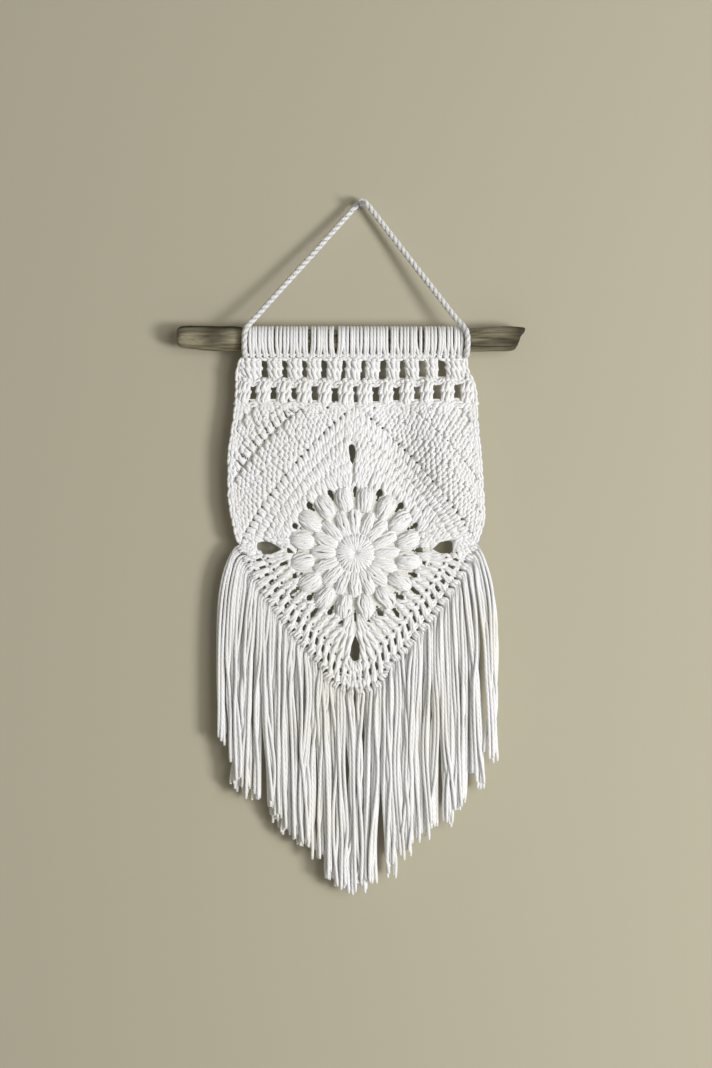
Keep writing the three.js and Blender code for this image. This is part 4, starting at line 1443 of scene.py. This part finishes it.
class HANGING_OT_heading(bpy.types.Operator):
    """Loops the heading over the stick and chains its band"""

    bl_idname = "hanging.heading"
    bl_label = "Heading"

    def execute(self, context):
        yarn = new_yarn(context)
        make_heading(yarn, yarn_radius(context) * 0.97, np.random.default_rng(SEEDS["heading"]))
        settle(yarn.make("heading_strands", cotton(context)), "cotton_yarn", "heading_loops")
        return {"FINISHED"}


class HANGING_OT_panel(bpy.types.Operator):
    """Works the panel: ground, flower, square rounds, corner triangles, cluster rows and border"""

    bl_idname = "hanging.panel"
    bl_label = "Crochet panel"

    def execute(self, context):
        panel = context.scene.hanging_panel
        radius, pitch = yarn_radius(context), panel.pitch / MM
        rng = np.random.default_rng(SEEDS["panel"])
        small = small_holes(panel.lower_stitches)

        def keep(yarn, name):
            settle(yarn.make(name, cotton(context)), "cotton_yarn", "crochet_panel")

        flower = new_yarn(context)
        make_flower(flower, radius, rng, panel.puff_rise / MM)
        keep(flower, "flower")
        rounds = new_yarn(context, small)
        make_square_round(rounds, radius, rng, pitch, panel.lower_stitches)
        make_last_round(rounds, radius, rng, pitch, panel.upper_stitches, panel.lower_stitches)
        keep(rounds, "square_rounds")
        for side, name in ((-1, "corner_triangle_left"), (1, "corner_triangle_right")):
            corner = new_yarn(context, small)
            make_triangle(corner, side, radius, rng, pitch)
            keep(corner, name)
        rows = new_yarn(context, small)
        make_clusters(rows, radius, rng, pitch)
        make_border(rows, radius, rng)
        keep(rows, "cluster_rows")
        ground, area = make_ground(panel.grid / MM, small, painted_shade_ground_material(context.scene.hanging_yarn.cream))
        settle(ground, "cotton_yarn", "crochet_panel")
        return {"FINISHED"}


class HANGING_OT_fringe(bpy.types.Operator):
    """Knots the fringe along both lower edges"""

    bl_idname = "hanging.fringe"
    bl_label = "Fringe"

    def execute(self, context):
        sizes = context.scene.hanging_fringe
        material = yarn_material("plied_fringe", context.scene.hanging_yarn, 0.9)
        small = small_holes(context.scene.hanging_panel.lower_stitches)
        for side, name in ((-1, "left"), (1, "right")):
            yarn = new_yarn(context, small)
            rng = np.random.default_rng(SEEDS["fringe"][side])
            make_fringe(yarn, side, sizes.per_knot, sizes.thickness / MM / 2, rng)
            settle(yarn.make(f"fringe_strands_{name}", material), "cotton_fringe", f"fringe_{name}")
        return {"FINISHED"}


class HANGING_OT_stage(bpy.types.Operator):
    """Sets a plain backdrop, a pale floor and soft studio light"""

    bl_idname = "hanging.stage"
    bl_label = "Stage"

    def plane(self, name, material, size_and_place):
        """A plain surface of the stage."""
        bpy.ops.mesh.primitive_plane_add(**size_and_place)
        made = bpy.context.object
        made.name = name
        made.data.materials.append(material)
        select_only(made)
        bpy.ops.object.transform_apply(location=True, rotation=True, scale=True)
        return made

    def execute(self, context):
        stage = context.scene.hanging_stage
        select_only()
        backdrop = self.plane("backdrop", plain_material("plain_backdrop", stage.backdrop, True), BACKDROP)
        backdrop.visible_shadow = False
        floor = self.plane("floor", plain_material("pale_floor", stage.floor), FLOOR)
        for name, place, size, share in LIGHTS:
            light = bpy.data.lights.new(name, "AREA")
            light.size = size
            light.energy = stage.key_power * share
            lamp = bpy.data.objects.new(name, light)
            lamp.location = place
            aim = np.array(LIGHT_AIM) - np.array(place)
            tilt, turn = math.acos(-aim[2] / np.linalg.norm(aim)), math.atan2(aim[1], aim[0]) - math.pi / 2
            lamp.rotation_euler = (tilt, 0, turn)
            context.scene.collection.objects.link(lamp)
        world = bpy.data.worlds.new("studio")
        world.use_nodes = True
        sky = world.node_tree.nodes["Background"]
        sky.inputs["Color"].default_value = SKY_COLOUR
        sky.inputs["Strength"].default_value = SKY_STRENGTH
        context.scene.world = world
        context.scene.view_settings.view_transform = "Standard"
        return {"FINISHED"}


class HANGING_PT_sidebar(bpy.types.Panel):
    """Lists the pieces of the hanging"""

    bl_idname = "HANGING_PT_sidebar"
    bl_label = "Wall hanging"
    bl_space_type = "VIEW_3D"
    bl_region_type = "UI"
    bl_category = "Hanging"

    def draw(self, context):
        for name in GROUPS:
            box = self.layout.box()
            group = getattr(context.scene, name)
            for prop in group.__annotations__:
                box.prop(group, prop)
        for operator in OPERATORS:
            self.layout.operator(operator.bl_idname)


GROUPS = {
    "hanging_yarn": YarnSettings,
    "hanging_panel": PanelSettings,
    "hanging_fringe": FringeSettings,
    "hanging_cord": CordSettings,
    "hanging_stick": StickSettings,
    "hanging_stage": StageSettings,
}
OPERATORS = (
    HANGING_OT_camera,
    HANGING_OT_cord,
    HANGING_OT_stick,
    HANGING_OT_nail,
    HANGING_OT_heading,
    HANGING_OT_panel,
    HANGING_OT_fringe,
    HANGING_OT_stage,
)


def register():
    for cls in (*GROUPS.values(), *OPERATORS, HANGING_PT_sidebar):
        bpy.utils.register_class(cls)
    for name, group in GROUPS.items():
        setattr(bpy.types.Scene, name, bpy.props.PointerProperty(type=group))


def unregister():
    for name in GROUPS:
        delattr(bpy.types.Scene, name)
    for cls in reversed((*GROUPS.values(), *OPERATORS, HANGING_PT_sidebar)):
        bpy.utils.unregister_class(cls)


def main():
    register()
    bpy.ops.hanging.camera()
    bpy.ops.hanging.cord()
    bpy.ops.hanging.stick()
    bpy.ops.hanging.nail()
    bpy.ops.hanging.heading()
    bpy.ops.hanging.panel()
    bpy.ops.hanging.fringe()
    bpy.ops.hanging.stage()


if __name__ == "__main__":
    main()
